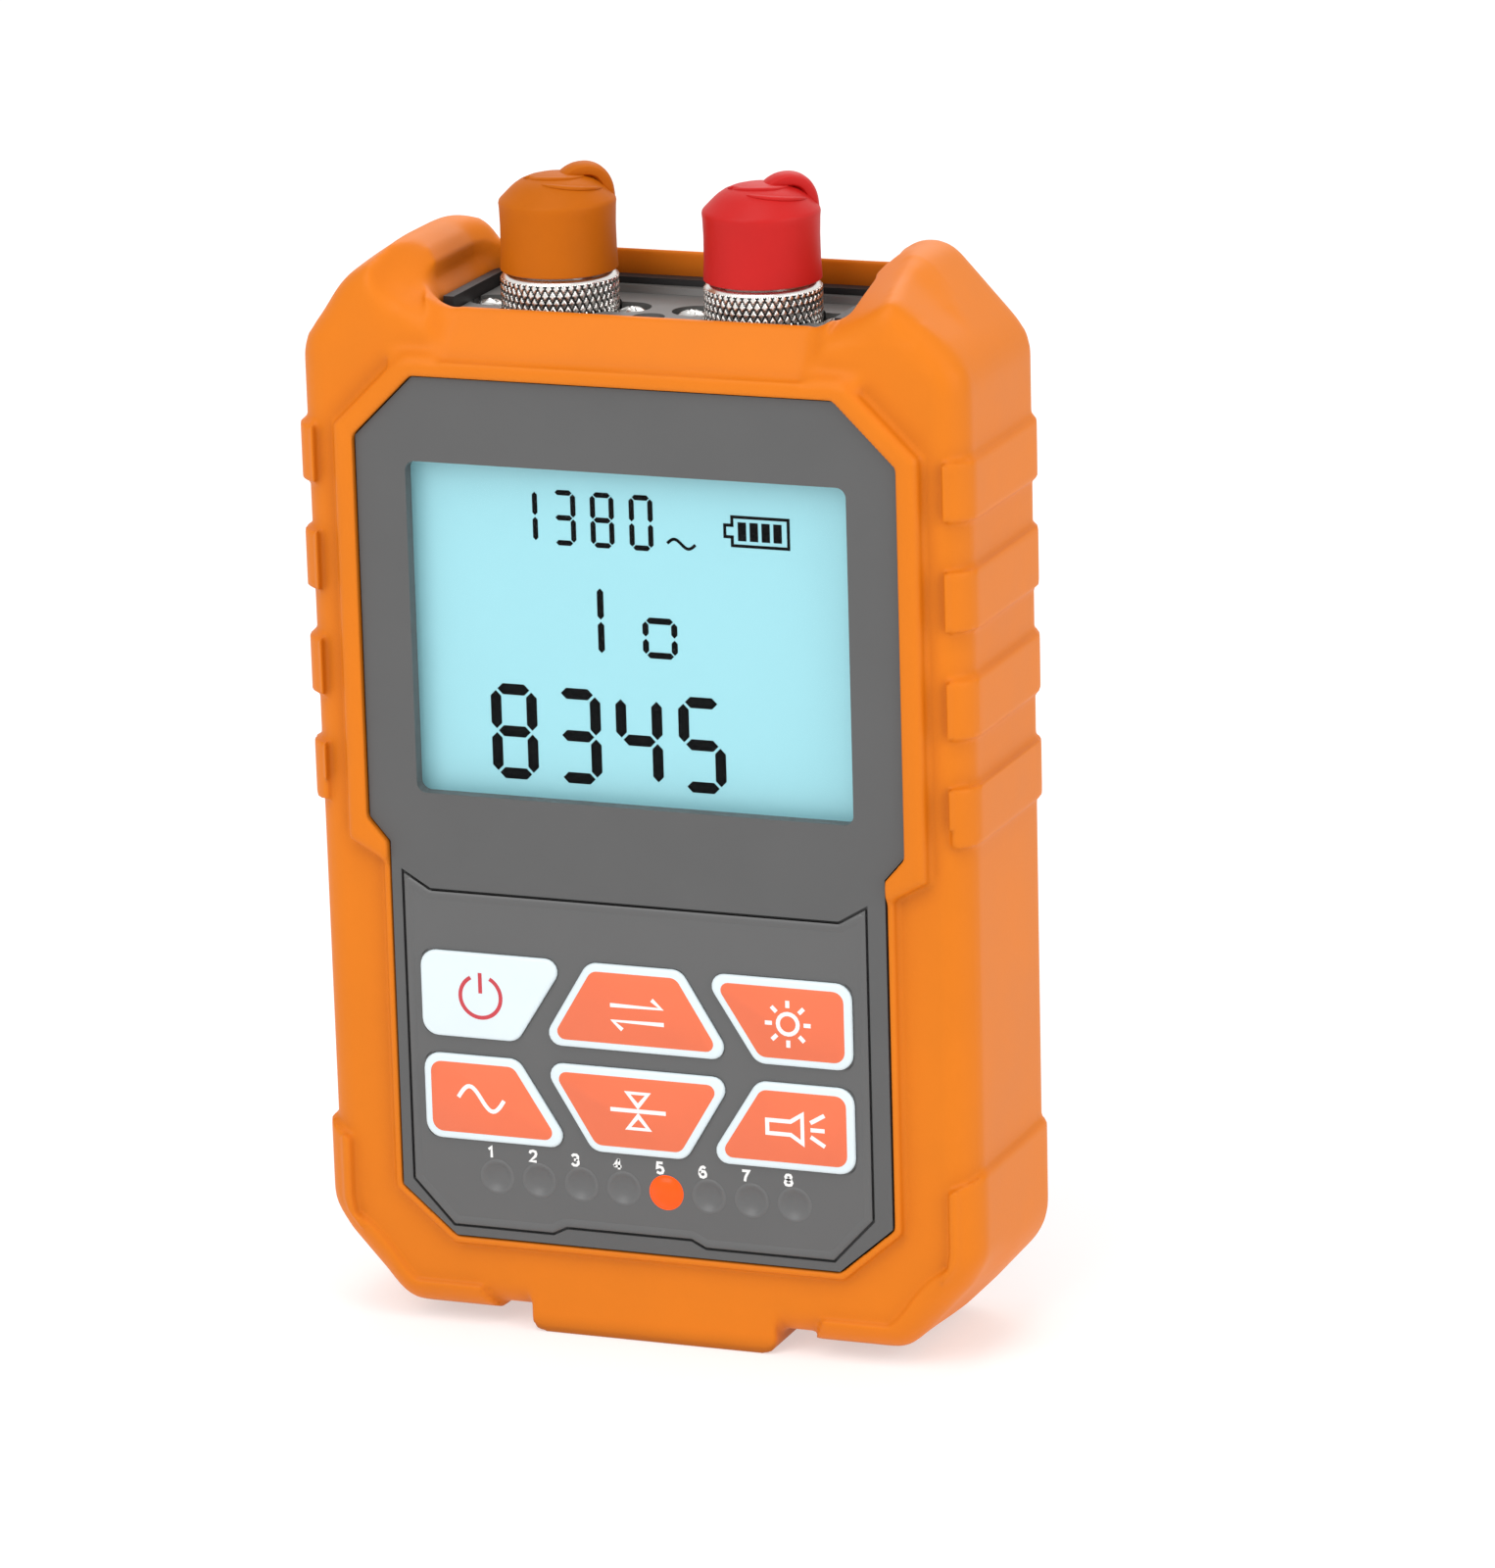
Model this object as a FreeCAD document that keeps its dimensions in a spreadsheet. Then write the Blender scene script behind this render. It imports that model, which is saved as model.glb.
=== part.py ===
import FreeCAD, Part
import math
import os
import Sketcher

# Handheld optical power meter in a moulded rubber sleeve.
# Millimetres. X to the right, Y from the display to the back, Z up.
# The origin is under the middle of the meter, on the bottom of the sleeve's foot block.

os.makedirs("parts", exist_ok=True)
doc = FreeCAD.newDocument("power_meter")
sheet = doc.addObject("Spreadsheet::Sheet", "sizes")

DRIVING_SIZES = {
    # sleeve, seen from the front
    "sleeve_half_width": 34.5, "sleeve_base": 2.0, "foot_half_width": 27.2, "foot_corner_top": 9.6,
    "foot_side": 34.15,
    "side_top": 99.9, "horn_x": 24.4, "horn_apex": 110.8, "dip_x": 20.7, "back_top": 106.2,
    "corner_radius": 6.0, "horn_radius": 4.0,
    "ridge_x": 34.6, "ridge_z": 100.3, "ridge_end_x": 27.4, "ridge_end_z": 106.5, "crest_x": 24.6,
    "crest_y": 2.5, "crest_z": 109.7, "shoulder_x": 20.9, "shoulder_y": 8.2, "cutter_side": 24.0,
    # sleeve, seen from the side
    "sleeve_depth": 24.0, "bead_proud": 1.5, "front_edge_radius": 3.2, "back_edge_radius": 3.2,
    "sleeve_wall": 2.2, "sleeve_fit": 0.15,
    "slope_foot": 98.6, "front_top": 103.25, "slope_run": 3.2, "slope_blend": 2.5,
    # grip lugs and corner bumpers
    "grip_proud": 0.55, "lug_height": 5.85, "lug_pitch": 10.7, "lug_base": 53.4, "lug_inner_x": 32.6,
    "lug_count": 4,
    "bumper_top": 20.3, "bumper_front_top": 18.6, "bumper_inner_x": 31.7, "bumper_bend": 10.4,
    "bumper_low_x": 25.2, "bumper_low": 4.2, "bumper_end_x": 18.2, "bumper_tip_x": 16.6,
    # raised bead round the front panel
    "bead_width": 2.3, "bead_foot": 47.4, "bead_edge_radius": 0.9, "rim_width": 0.9, "rim_proud": 0.9,
    # foot block with the network socket
    "block_half_width": 13.0, "block_front": 10.5, "block_back": 10.3, "block_radius": 1.4,
    "block_root": 2.5,
    # well for the ports
    "well_half_width": 21.0, "well_front": 7.0, "well_back": 9.5, "well_radius": 2.0,
    "notch_half_width": 20.7,
    # rear window of the sleeve
    "rear_half_width": 23.5, "rear_low": 13.5, "rear_high": 84.0, "rear_radius": 5.0,
    # housing shells
    "shell_wall": 1.8, "housing_top": 102.2, "housing_top_half": 27.4, "housing_side_top": 96.6,
    "housing_radius": 3.5, "panel_recess": 0.7, "front_wall": 1.4,
    "rear_recess": 0.7, "split_gap": 0.1,
    # front panel outline
    "bezel_top": 96.9, "bezel_top_half": 21.8, "bezel_half_width": 28.0, "bezel_shoulder": 90.75,
    "bezel_step": 52.3, "bezel_step_low": 49.9, "bezel_low_half": 25.9, "bezel_corner": 14.45,
    "bezel_base_half": 20.3, "bezel_base": 9.65,
    # display
    "display_half_width": 22.85, "display_low": 55.1, "display_high": 88.5, "display_radius": 1.0,
    "window_margin": 1.3, "window_thickness": 1.0, "cell_thickness": 2.0, "light_thickness": 2.0,
    "stack_gap": 0.05, "strip_height": 1.6,
    # membrane overlay
    "overlay_half_width": 24.2, "overlay_ear": 46.7, "overlay_notch_x": 21.5, "overlay_top": 45.1,
    "overlay_corner": 15.2, "overlay_base_half": 20.1, "overlay_base": 10.8, "overlay_thickness": 0.5,
    "overlay_gap": 0.28, "overlay_step_left": 8.1, "overlay_step_right": 5.2, "overlay_step_ramp": 1.5,
    "overlay_step_rise": 0.75,
    # keys
    "key_outer_x": 22.6, "key_inner_near": 7.25, "key_inner_far": 12.7, "key_mid_near": 4.85,
    "key_mid_far": 10.05, "key_split": 29.45, "key_row_gap": 2.0, "key_tall": 8.6,
    "key_radius": 1.2, "panel_shift": 0.4, "key_proud": 0.45, "key_fit": 0.15, "key_travel": 0.4,
    "key_skirt": 0.6,
    "key_skirt_thickness": 0.8, "key_rest_gap": 0.15, "mat_thickness": 0.9, "mat_margin": 1.2,
    # indicators
    "light_count": 8, "light_pitch": 4.5, "light_height": 16.1, "light_radius": 1.65, "light_dome": 0.25,
    "light_fit": 0.08, "lamp_chip_half": 0.9, "lamp_chip_height": 1.5,
    # circuit board
    "board_thickness": 1.2, "board_half_width": 24.4, "board_low": 8.0, "board_high": 94.0,
    "chip_side": 10.0, "chip_height": 84.0, "chip_thickness": 0.9,
    # screws of the housing
    "post_x": 28.1, "post_low": 17.0, "post_high": 90.5, "post_radius": 2.9, "pilot_radius": 1.0,
    "screw_radius": 1.1, "screw_head_radius": 2.2, "screw_head": 1.6, "screw_clear": 0.2,
    "screw_bite": 5.0, "screw_slot": 0.6,
    # battery bay
    "cell_radius": 5.25, "cell_length": 43.4, "cell_button_radius": 1.9, "cell_button": 1.0,
    "cell_pitch": 11.0, "bay_play": 0.7, "bay_wall": 1.2, "bay_low": 22.2, "spring_length": 5.0,
    "spring_radius": 3.2, "spring_wire": 0.5, "spring_turns": 3.5, "spring_sides": 8,
    "contact_thickness": 0.4,
    "contact_width": 9.0, "contact_depth": 8.0, "cell_fit": 0.1,
    "cover_lap": 1.8, "cover_fit": 0.25, "cover_thickness": 1.5, "cover_lip": 1.1,
    "cover_grip_pitch": 2.4, "cover_grip_depth": 0.5, "cover_grip_width": 1.2, "cover_grip_count": 4,
    "cover_grip_half": 7.0,
    # ports
    "port_x": 10.6, "plate_top": 102.35, "plate_half_width": 19.6, "plate_front": 6.6, "plate_back": 7.6,
    "plate_radius": 1.5, "plate_flange": 1.2, "plate_flange_thickness": 1.3, "plate_fit": 0.2,
    "seat_depth": 2.15, "seat_fit": 0.2,
    "gasket_fit": 0.15, "gasket_top": 103.6,
    "flange_length": 18.4, "flange_width": 4.2, "flange_radius": 5.3, "flange_thickness": 1.0,
    "flange_screw_pitch": 15.0,
    "flange_screw_radius": 0.8, "flange_head_radius": 1.55, "flange_head": 1.3, "flange_screw_length": 3.6,
    "ring_radius": 5.78, "ring_height": 4.5, "ring_chamfer": 0.55, "ring_fit": 0.05,
    "nose_radius": 4.4, "nose_height": 5.7, "nose_chamfer": 0.5, "barrel_below": 5.5, "barrel_fit": 0.15,
    "sleeve_bore": 1.25, "sleeve_tube_wall": 0.45, "sleeve_tube_length": 11.0, "key_slot_width": 2.2,
    "diode_radius": 2.7, "diode_length": 3.6, "laser_radius": 3.1, "laser_length": 17.0,
    "torch_y": 3.6, "torch_radius": 1.5, "torch_rise": 0.9, "torch_length": 5.0, "torch_rim": 0.4,
    # dust caps
    "cap_radius": 5.75, "cap_gap": 0.2, "cap_shoulder": 6.85, "cap_chamfer_run": 1.35,
    "cap_chamfer_rise": 1.5, "cap_dome": 1.2, "cap_fit": 0.15, "cap_roof_gap": 0.3,
    "loop_width": 2.8, "loop_thickness": 1.3, "loop_start": 1.2, "loop_rise": 0.75, "loop_turn": 35.0,
    "loop_foot": 1.6,
    # network socket
    "jack_half_width": 7.9, "jack_front": 3.3, "jack_back": 7.6, "jack_mouth": 0.9, "jack_length": 16.0,
    "jack_fit": 0.2, "plug_half_width": 5.95, "plug_front": 1.6, "plug_back": 5.1, "plug_length": 12.5,
    "latch_half_width": 3.1, "latch_depth": 1.5, "pin_pitch": 1.02, "pin_size": 0.45, "pin_count": 8,
    "pin_length": 9.0,
}


def fill_sheet():
    for row, (alias, value) in enumerate(DRIVING_SIZES.items(), start=1):
        cell = "A%d" % row
        sheet.set(cell, str(value))
        sheet.setAlias(cell, alias)
    doc.recompute()


class Size:
    """A length together with the sheet expression that it comes from."""

    def __init__(self, value, text):
        self.value = value
        self.text = text

    def __add__(self, other):
        other = as_size(other)
        return Size(self.value + other.value, "(%s + %s)" % (self.text, other.text))

    def __radd__(self, other):
        return as_size(other) + self

    def __sub__(self, other):
        other = as_size(other)
        return Size(self.value - other.value, "(%s - %s)" % (self.text, other.text))

    def __rsub__(self, other):
        return as_size(other) - self

    def __mul__(self, other):
        other = as_size(other)
        return Size(self.value * other.value, "%s * %s" % (self.text, other.text))

    def __rmul__(self, other):
        return self * other

    def __truediv__(self, other):
        other = as_size(other)
        return Size(self.value / other.value, "%s / %s" % (self.text, other.text))

    def __neg__(self):
        return Size(-self.value, "(-1 * %s)" % self.text)


def as_size(number):
    if isinstance(number, Size):
        return number
    return Size(float(number), "(%.9f)" % float(number))


class SizesOfSheet:
    """Reads a size by its alias, such as dim.port_x."""

    def __getattr__(self, alias):
        return Size(float(sheet.get(alias)), "sizes.%s" % alias)


dim = SizesOfSheet()
ZERO = as_size(0)


def count(size):
    return int(round(size.value))


def bind(item, prop, size):
    item.setExpression(prop, as_size(size).text)


# Outlines

def mirrored(right_points):
    """A closed outline from its right half, given from the bottom up."""
    left_points = [(-x, z) for x, z in reversed(right_points)]
    return list(right_points) + left_points


def flipped(points):
    """The same outline on the other side of the middle plane."""
    return [(-x, z) for x, z in reversed(points)]


def rectangle(low_u, high_u, low_v, high_v):
    return [(low_u, low_v), (high_u, low_v), (high_u, high_v), (low_u, high_v)]


def grown(points, gap):
    """The outline moved outwards by a gap, with its corners kept sharp."""
    flat = [(as_size(u).value, as_size(v).value) for u, v in points]
    total = len(flat)
    area = sum(flat[i][0] * flat[(i + 1) % total][1] - flat[(i + 1) % total][0] * flat[i][1]
               for i in range(total))
    turn = 1.0 if area > 0 else -1.0
    result = []
    for i in range(total):
        before, here, after = flat[i - 1], flat[i], flat[(i + 1) % total]
        normal_in = edge_normal(before, here, turn)
        normal_out = edge_normal(here, after, turn)
        reach = 1.0 + normal_in[0] * normal_out[0] + normal_in[1] * normal_out[1]
        shift = [(normal_in[k] + normal_out[k]) / reach for k in (0, 1)]
        result.append((as_size(points[i][0]) + gap * shift[0], as_size(points[i][1]) + gap * shift[1]))
    return result


def edge_normal(start, end, turn):
    along = (end[0] - start[0], end[1] - start[1])
    length = math.hypot(along[0], along[1])
    return (turn * along[1] / length, -turn * along[0] / length)


# Sketches and features

def new_body(name):
    body = doc.addObject("PartDesign::Body", name)
    body.Label = name
    return body


def origin_item(body, role):
    return [item for item in body.Origin.OriginFeatures if item.Role == role][0]


def new_sketch(body, role, height=0):
    """A sketch on one of the body's own planes, moved along its normal."""
    sketch = body.newObject("Sketcher::SketchObject", body.Name + "_sketch")
    sketch.AttachmentSupport = [(origin_item(body, role), "")]
    sketch.MapMode = "FlatFace"
    bind(sketch, "AttachmentOffset.Base.z", height)
    return sketch


def front_sketch(body, y):
    """A sketch seen from the front, at the depth y."""
    return new_sketch(body, "XZ_Plane", -as_size(y))


def pin_point(sketch, index, place, u, v):
    for kind, size in (("DistanceX", as_size(u)), ("DistanceY", as_size(v))):
        number = sketch.addConstraint(Sketcher.Constraint(kind, -1, 1, index, place, size.value))
        sketch.setExpression("Constraints[%d]" % number, size.text)


def draw_outline(sketch, points):
    first = sketch.GeometryCount
    total = len(points)
    corners = [FreeCAD.Vector(as_size(u).value, as_size(v).value, 0) for u, v in points]
    for i in range(total):
        sketch.addGeometry(Part.LineSegment(corners[i], corners[(i + 1) % total]))
    for i in range(total):
        sketch.addConstraint(Sketcher.Constraint("Coincident", first + i, 2, first + (i + 1) % total, 1))
    for i in range(total):
        pin_point(sketch, first + i, 1, points[i][0], points[i][1])


def draw_circle(sketch, u, v, radius):
    centre = FreeCAD.Vector(as_size(u).value, as_size(v).value, 0)
    index = sketch.addGeometry(Part.Circle(centre, FreeCAD.Vector(0, 0, 1), radius.value))
    number = sketch.addConstraint(Sketcher.Constraint("Radius", index, radius.value))
    sketch.setExpression("Constraints[%d]" % number, radius.text)
    pin_point(sketch, index, 3, u, v)


def pad(body, sketch, length, along=True):
    """Adds material from the sketch, along its normal or against it."""
    feature = body.newObject("PartDesign::Pad", body.Name + "_pad")
    feature.Profile = sketch
    feature.Reversed = not along
    bind(feature, "Length", length)
    doc.recompute()
    return feature


def pocket(body, sketch, length, along=False):
    """Removes material from the sketch, against its normal or along it, and checks that it did."""
    before = body.Shape.Volume
    feature = body.newObject("PartDesign::Pocket", body.Name + "_pocket")
    feature.Profile = sketch
    feature.Reversed = along
    bind(feature, "Length", length)
    doc.recompute()
    if not body.Shape.Volume < before:
        raise ValueError("a pocket of %s removes nothing" % body.Label)
    return feature


def revolve(body, sketch, role="Z_Axis"):
    feature = body.newObject("PartDesign::Revolution", body.Name + "_turned")
    feature.Profile = sketch
    feature.ReferenceAxis = (origin_item(body, role), [""])
    feature.Angle = 360
    doc.recompute()
    return feature


def round_edges(body, feature, names, radius):
    fillet = body.newObject("PartDesign::Fillet", body.Name + "_fillet")
    fillet.Base = (feature, names)
    bind(fillet, "Radius", radius)
    doc.recompute()
    return fillet


def bevel_edges(body, feature, names, size):
    chamfer = body.newObject("PartDesign::Chamfer", body.Name + "_chamfer")
    chamfer.Base = (feature, names)
    bind(chamfer, "Size", size)
    doc.recompute()
    return chamfer


AXES = {"X": FreeCAD.Vector(1, 0, 0), "Y": FreeCAD.Vector(0, 1, 0), "Z": FreeCAD.Vector(0, 0, 1)}


def straight_edges(shape, axis, test=None):
    """Names of the straight edges along an axis whose middles pass the test."""
    names = []
    for number, edge in enumerate(shape.Edges, start=1):
        if not isinstance(edge.Curve, Part.Line):
            continue
        if abs(abs(edge.Curve.Direction.dot(AXES[axis])) - 1) > 1e-6:
            continue
        if test is None or test(edge.CenterOfMass):
            names.append("Edge%d" % number)
    return names


def level_edges(shape, axis, level, test=None):
    """Names of the edges that lie in a plane across an axis."""
    names = []
    for number, edge in enumerate(shape.Edges, start=1):
        box = edge.BoundBox
        low = getattr(box, axis + "Min")
        high = getattr(box, axis + "Max")
        if abs(low - level) < 1e-4 and abs(high - level) < 1e-4:
            if test is None or test(edge.CenterOfMass):
                names.append("Edge%d" % number)
    return names


def at_corner(points):
    """A test for edges that pass near any of the given corners, seen from the front."""
    flat = [(as_size(u).value, as_size(v).value) for u, v in points]

    def near(middle):
        return any(math.hypot(middle.x - u, middle.z - v) < 0.05 for u, v in flat)

    return near


# Plain solids and booleans

def place(item, x, y, z):
    for prop, size in (("Placement.Base.x", x), ("Placement.Base.y", y), ("Placement.Base.z", z)):
        bind(item, prop, size)


def box(name, low, high):
    item = doc.addObject("Part::Box", name)
    item.Label = name
    sizes = [as_size(high[k]) - low[k] for k in range(3)]
    for prop, size in zip(("Length", "Width", "Height"), sizes):
        bind(item, prop, size)
    place(item, low[0], low[1], low[2])
    return item


TO_FRONT = FreeCAD.Rotation(FreeCAD.Vector(1, 0, 0), 90)


def cylinder(name, base, radius, length, rotation=None):
    """A rod that starts at its base and runs up, or to the front or the back."""
    item = doc.addObject("Part::Cylinder", name)
    item.Label = name
    bind(item, "Radius", radius)
    bind(item, "Height", length)
    if rotation is not None:
        item.Placement = FreeCAD.Placement(FreeCAD.Vector(0, 0, 0), rotation)
    place(item, base[0], base[1], base[2])
    return item


def fused(name, items):
    item = doc.addObject("Part::MultiFuse", name)
    item.Label = name
    item.Shapes = items
    doc.recompute()
    return item


def group_of(name, items):
    """Like pieces that share one node and don't touch."""
    item = doc.addObject("Part::Compound", name)
    item.Label = name
    item.Links = items
    doc.recompute()
    return item


def cut_from(name, base, tool):
    item = doc.addObject("Part::Cut", name)
    item.Label = name
    item.Base = base
    item.Tool = tool
    doc.recompute()
    return item


def shared_by(name, base, tool):
    item = doc.addObject("Part::Common", name)
    item.Label = name
    item.Base = base
    item.Tool = tool
    doc.recompute()
    return item


def prism(name, outlines, low_y, high_y):
    """A body of the outlines seen from the front, from one depth to another."""
    body = new_body(name)
    sketch = front_sketch(body, low_y)
    for points in outlines:
        draw_outline(sketch, points)
    pad(body, sketch, as_size(high_y) - low_y, along=False)
    return body


def slab(name, points, low_z, high_z):
    """A body of an outline seen from above, from one height to another."""
    body = new_body(name)
    sketch = new_sketch(body, "XY_Plane", low_z)
    draw_outline(sketch, points)
    pad(body, sketch, as_size(high_z) - low_z)
    return body


# Depths that several pieces share

fill_sheet()
FRONT = -dim.sleeve_depth / 2
BACK = dim.sleeve_depth / 2
BORDER = FRONT + dim.bead_proud
HOUSING_FRONT = BORDER + dim.sleeve_wall + dim.sleeve_fit
HOUSING_BACK = BACK - dim.sleeve_wall - dim.sleeve_fit
HOUSING_BASE = dim.sleeve_base + dim.sleeve_wall + dim.sleeve_fit
PANEL = FRONT + dim.panel_recess
PANEL_INSIDE = PANEL + dim.front_wall
REAR_PANEL = BACK - dim.rear_recess
OVERLAY_FLOOR = PANEL + dim.overlay_thickness + dim.stack_gap
WINDOW_FRONT = PANEL_INSIDE + dim.stack_gap
CELL_FRONT = WINDOW_FRONT + dim.window_thickness + dim.stack_gap
LIGHT_FRONT = CELL_FRONT + dim.cell_thickness + dim.stack_gap
BOARD_FRONT = LIGHT_FRONT + dim.light_thickness + 2 * dim.stack_gap
BOARD_BACK = BOARD_FRONT + dim.board_thickness
MAT_FRONT = BOARD_FRONT - dim.stack_gap - dim.mat_thickness

# Heights that several pieces share

SEAT = dim.plate_top - dim.seat_depth
FLANGE_TOP = SEAT + dim.flange_thickness
RING_TOP = FLANGE_TOP + dim.ring_height
NOSE_TOP = RING_TOP + dim.nose_height
CAP_RIM = RING_TOP + dim.cap_gap
CELL_SPACE = dim.cell_length + dim.cell_button + dim.spring_length + 2 * dim.contact_thickness
BAY_HIGH = dim.bay_low + CELL_SPACE + dim.cell_fit
BAY_HALF = dim.cell_pitch + dim.cell_radius + dim.bay_play
BAY_FLOOR = HOUSING_BACK - 2 * dim.cell_radius - dim.cell_fit
CELL_AXIS = BAY_FLOOR + dim.cell_radius + dim.cell_fit / 2


def sleeve_outline():
    return mirrored([
        (dim.foot_half_width, dim.sleeve_base),
        (dim.foot_side, dim.foot_corner_top),
        (dim.sleeve_half_width, dim.side_top),
        (dim.horn_x, dim.horn_apex),
        (dim.dip_x, dim.back_top),
    ])


def housing_outline():
    inset = dim.sleeve_wall + dim.sleeve_fit
    foot = grown(sleeve_outline(), -inset)
    return mirrored([
        foot[0],
        foot[1],
        (foot[1][0], dim.housing_side_top),
        (dim.housing_top_half, dim.housing_top),
    ])


def bezel_outline():
    return mirrored([
        (dim.bezel_base_half, dim.bezel_base),
        (dim.bezel_low_half, dim.bezel_corner),
        (dim.bezel_low_half, dim.bezel_step_low),
        (dim.bezel_half_width, dim.bezel_step),
        (dim.bezel_half_width, dim.bezel_shoulder),
        (dim.bezel_top_half, dim.bezel_top),
    ])


def display_outline():
    return rectangle(-dim.display_half_width, dim.display_half_width, dim.display_low, dim.display_high)


def rear_outline():
    return rectangle(-dim.rear_half_width, dim.rear_half_width, dim.rear_low, dim.rear_high)


def cover_outline():
    return grown(rectangle(-BAY_HALF, BAY_HALF, dim.bay_low, BAY_HIGH), dim.cover_lap)


# Protective sleeve

def rounded_prism(name, outline, low_y, high_y, growth):
    """The sleeve's outer form, with its corners and its front and back edges rounded."""
    body = prism(name, [outline], low_y, high_y)
    right = outline[:5]
    left = outline[5:]
    outer = [right[0], right[1], right[2], left[2], left[3], left[4]]
    for points, radius in (
        (outer, dim.corner_radius + growth),
        ([right[3], left[1]], dim.horn_radius + growth),
    ):
        names = straight_edges(body.Shape, "Y", at_corner(points))
        round_edges(body, body.Tip, names, radius)
    front_names = level_edges(body.Shape, "Y", low_y.value)
    round_edges(body, body.Tip, front_names, dim.front_edge_radius)
    back_names = level_edges(body.Shape, "Y", high_y.value)
    round_edges(body, body.Tip, back_names, dim.back_edge_radius)
    return body


def lug_bands():
    """Four bands on each side, where the grip stands proud."""
    body = new_body("lug_bands")
    sketch = front_sketch(body, FRONT)
    outer = dim.sleeve_half_width + 2 * dim.grip_proud
    right = rectangle(dim.lug_inner_x, outer, dim.lug_base, dim.lug_base + dim.lug_height)
    draw_outline(sketch, right)
    draw_outline(sketch, flipped(right))
    first = pad(body, sketch, dim.sleeve_depth, along=False)
    row = body.newObject("PartDesign::LinearPattern", "lug_row")
    row.Originals = [first]
    row.Direction = (origin_item(body, "Z_Axis"), [""])
    row.Occurrences = count(dim.lug_count)
    bind(row, "Length", dim.lug_pitch * (count(dim.lug_count) - 1))
    body.Tip = row
    doc.recompute()
    return body


def bumper_outline():
    """The right corner bumper, seen from the front."""
    outer = grown(sleeve_outline(), dim.grip_proud)
    return [
        (dim.bumper_tip_x, outer[0][1]),
        outer[0],
        outer[1],
        (outer[2][0], dim.bumper_top),
        (dim.bumper_inner_x, dim.bumper_front_top),
        (dim.bumper_inner_x, dim.bumper_bend),
        (dim.bumper_low_x, dim.bumper_low),
        (dim.bumper_end_x, dim.bumper_low),
    ]


def bead_plate():
    """The raised bead round the upper part of the front panel, before its middle is cut out."""
    outline = grown(bezel_outline(), dim.bead_width)
    right = [
        (dim.bezel_low_half, dim.bead_foot),
        (outline[3][0], dim.bezel_step_low),
        (outline[3][0], outline[4][1]),
        outline[5],
    ]
    body = prism("bead_plate", [mirrored(right)], FRONT, BORDER + dim.bead_proud)
    names = level_edges(body.Shape, "Y", FRONT.value)
    round_edges(body, body.Tip, names, dim.bead_edge_radius)
    return body


def rim_plate():
    """The low rim round the lower part of the front panel."""
    outline = grown(bezel_outline(), dim.rim_width)
    right = [outline[0], outline[1], (outline[1][0], dim.bezel_step_low)]
    low_y = BORDER - dim.rim_proud
    return prism("rim_plate", [mirrored(right)], low_y, BORDER + dim.bead_proud)


def slope_wedge():
    """Fills the corner between the bead and the slope that leads up to the well."""
    body = new_body("slope_wedge")
    sketch = new_sketch(body, "YZ_Plane", -dim.horn_x)
    rise = (dim.front_top - dim.slope_foot) * dim.bead_proud / dim.slope_run
    foot = dim.bezel_top + dim.bead_width / 2
    draw_outline(sketch, [
        (FRONT + dim.bead_edge_radius, foot),
        (BORDER + dim.bead_proud, foot),
        (BORDER + dim.bead_proud, dim.slope_foot + 2 * rise),
        (FRONT + dim.bead_edge_radius, dim.slope_foot),
    ])
    pad(body, sketch, 2 * dim.horn_x)
    return body


def foot_block():
    """The block under the sleeve that the meter stands on, round the network socket."""
    outline = rectangle(-dim.block_half_width, dim.block_half_width, ZERO,
                        dim.sleeve_base + dim.block_root)
    body = prism("foot_block", [outline], -dim.block_front, dim.block_back)
    names = straight_edges(body.Shape, "Y", lambda middle: middle.z < 0.1)
    round_edges(body, body.Tip, names, dim.block_radius)
    return body


def slope_cut():
    """Takes the front wall of the well down to its slope, between the two horns."""
    body = new_body("slope_cut")
    sketch = new_sketch(body, "YZ_Plane", -dim.notch_half_width)
    clear = dim.horn_apex + dim.corner_radius
    slope_top = FRONT + dim.bead_edge_radius + dim.slope_run
    draw_outline(sketch, [
        (FRONT - dim.bead_proud, dim.slope_foot),
        (FRONT + dim.bead_edge_radius, dim.slope_foot),
        (slope_top, dim.front_top),
        (-dim.well_front + dim.bead_proud, dim.front_top),
        (-dim.well_front + dim.bead_proud, clear),
        (FRONT - dim.bead_proud, clear),
    ])
    pad(body, sketch, 2 * dim.notch_half_width)
    top = dim.front_top.value + 0.01
    names = []
    for side in (-1, 1):
        end = side * dim.notch_half_width.value
        names += level_edges(body.Shape, "X", end, lambda middle: middle.z < top)
    round_edges(body, body.Tip, names, dim.slope_blend)
    return body


def plane_cutter(name, points):
    """A block that stands on the plane through three points."""
    first, second, third = [FreeCAD.Vector(*[as_size(c).value for c in point]) for point in points]
    normal = (second - first).cross(third - first)
    if normal.z < 0:
        normal = -normal
    turn = FreeCAD.Rotation(FreeCAD.Vector(0, 0, 1), normal)
    item = doc.addObject("Part::Box", name)
    for prop in ("Length", "Width", "Height"):
        bind(item, prop, dim.cutter_side)
    half = dim.cutter_side.value / 2
    corner = (first + second + third) * (1 / 3) + turn.multVec(FreeCAD.Vector(-half, -half, 0))
    item.Placement = FreeCAD.Placement(corner, turn)
    return item


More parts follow.
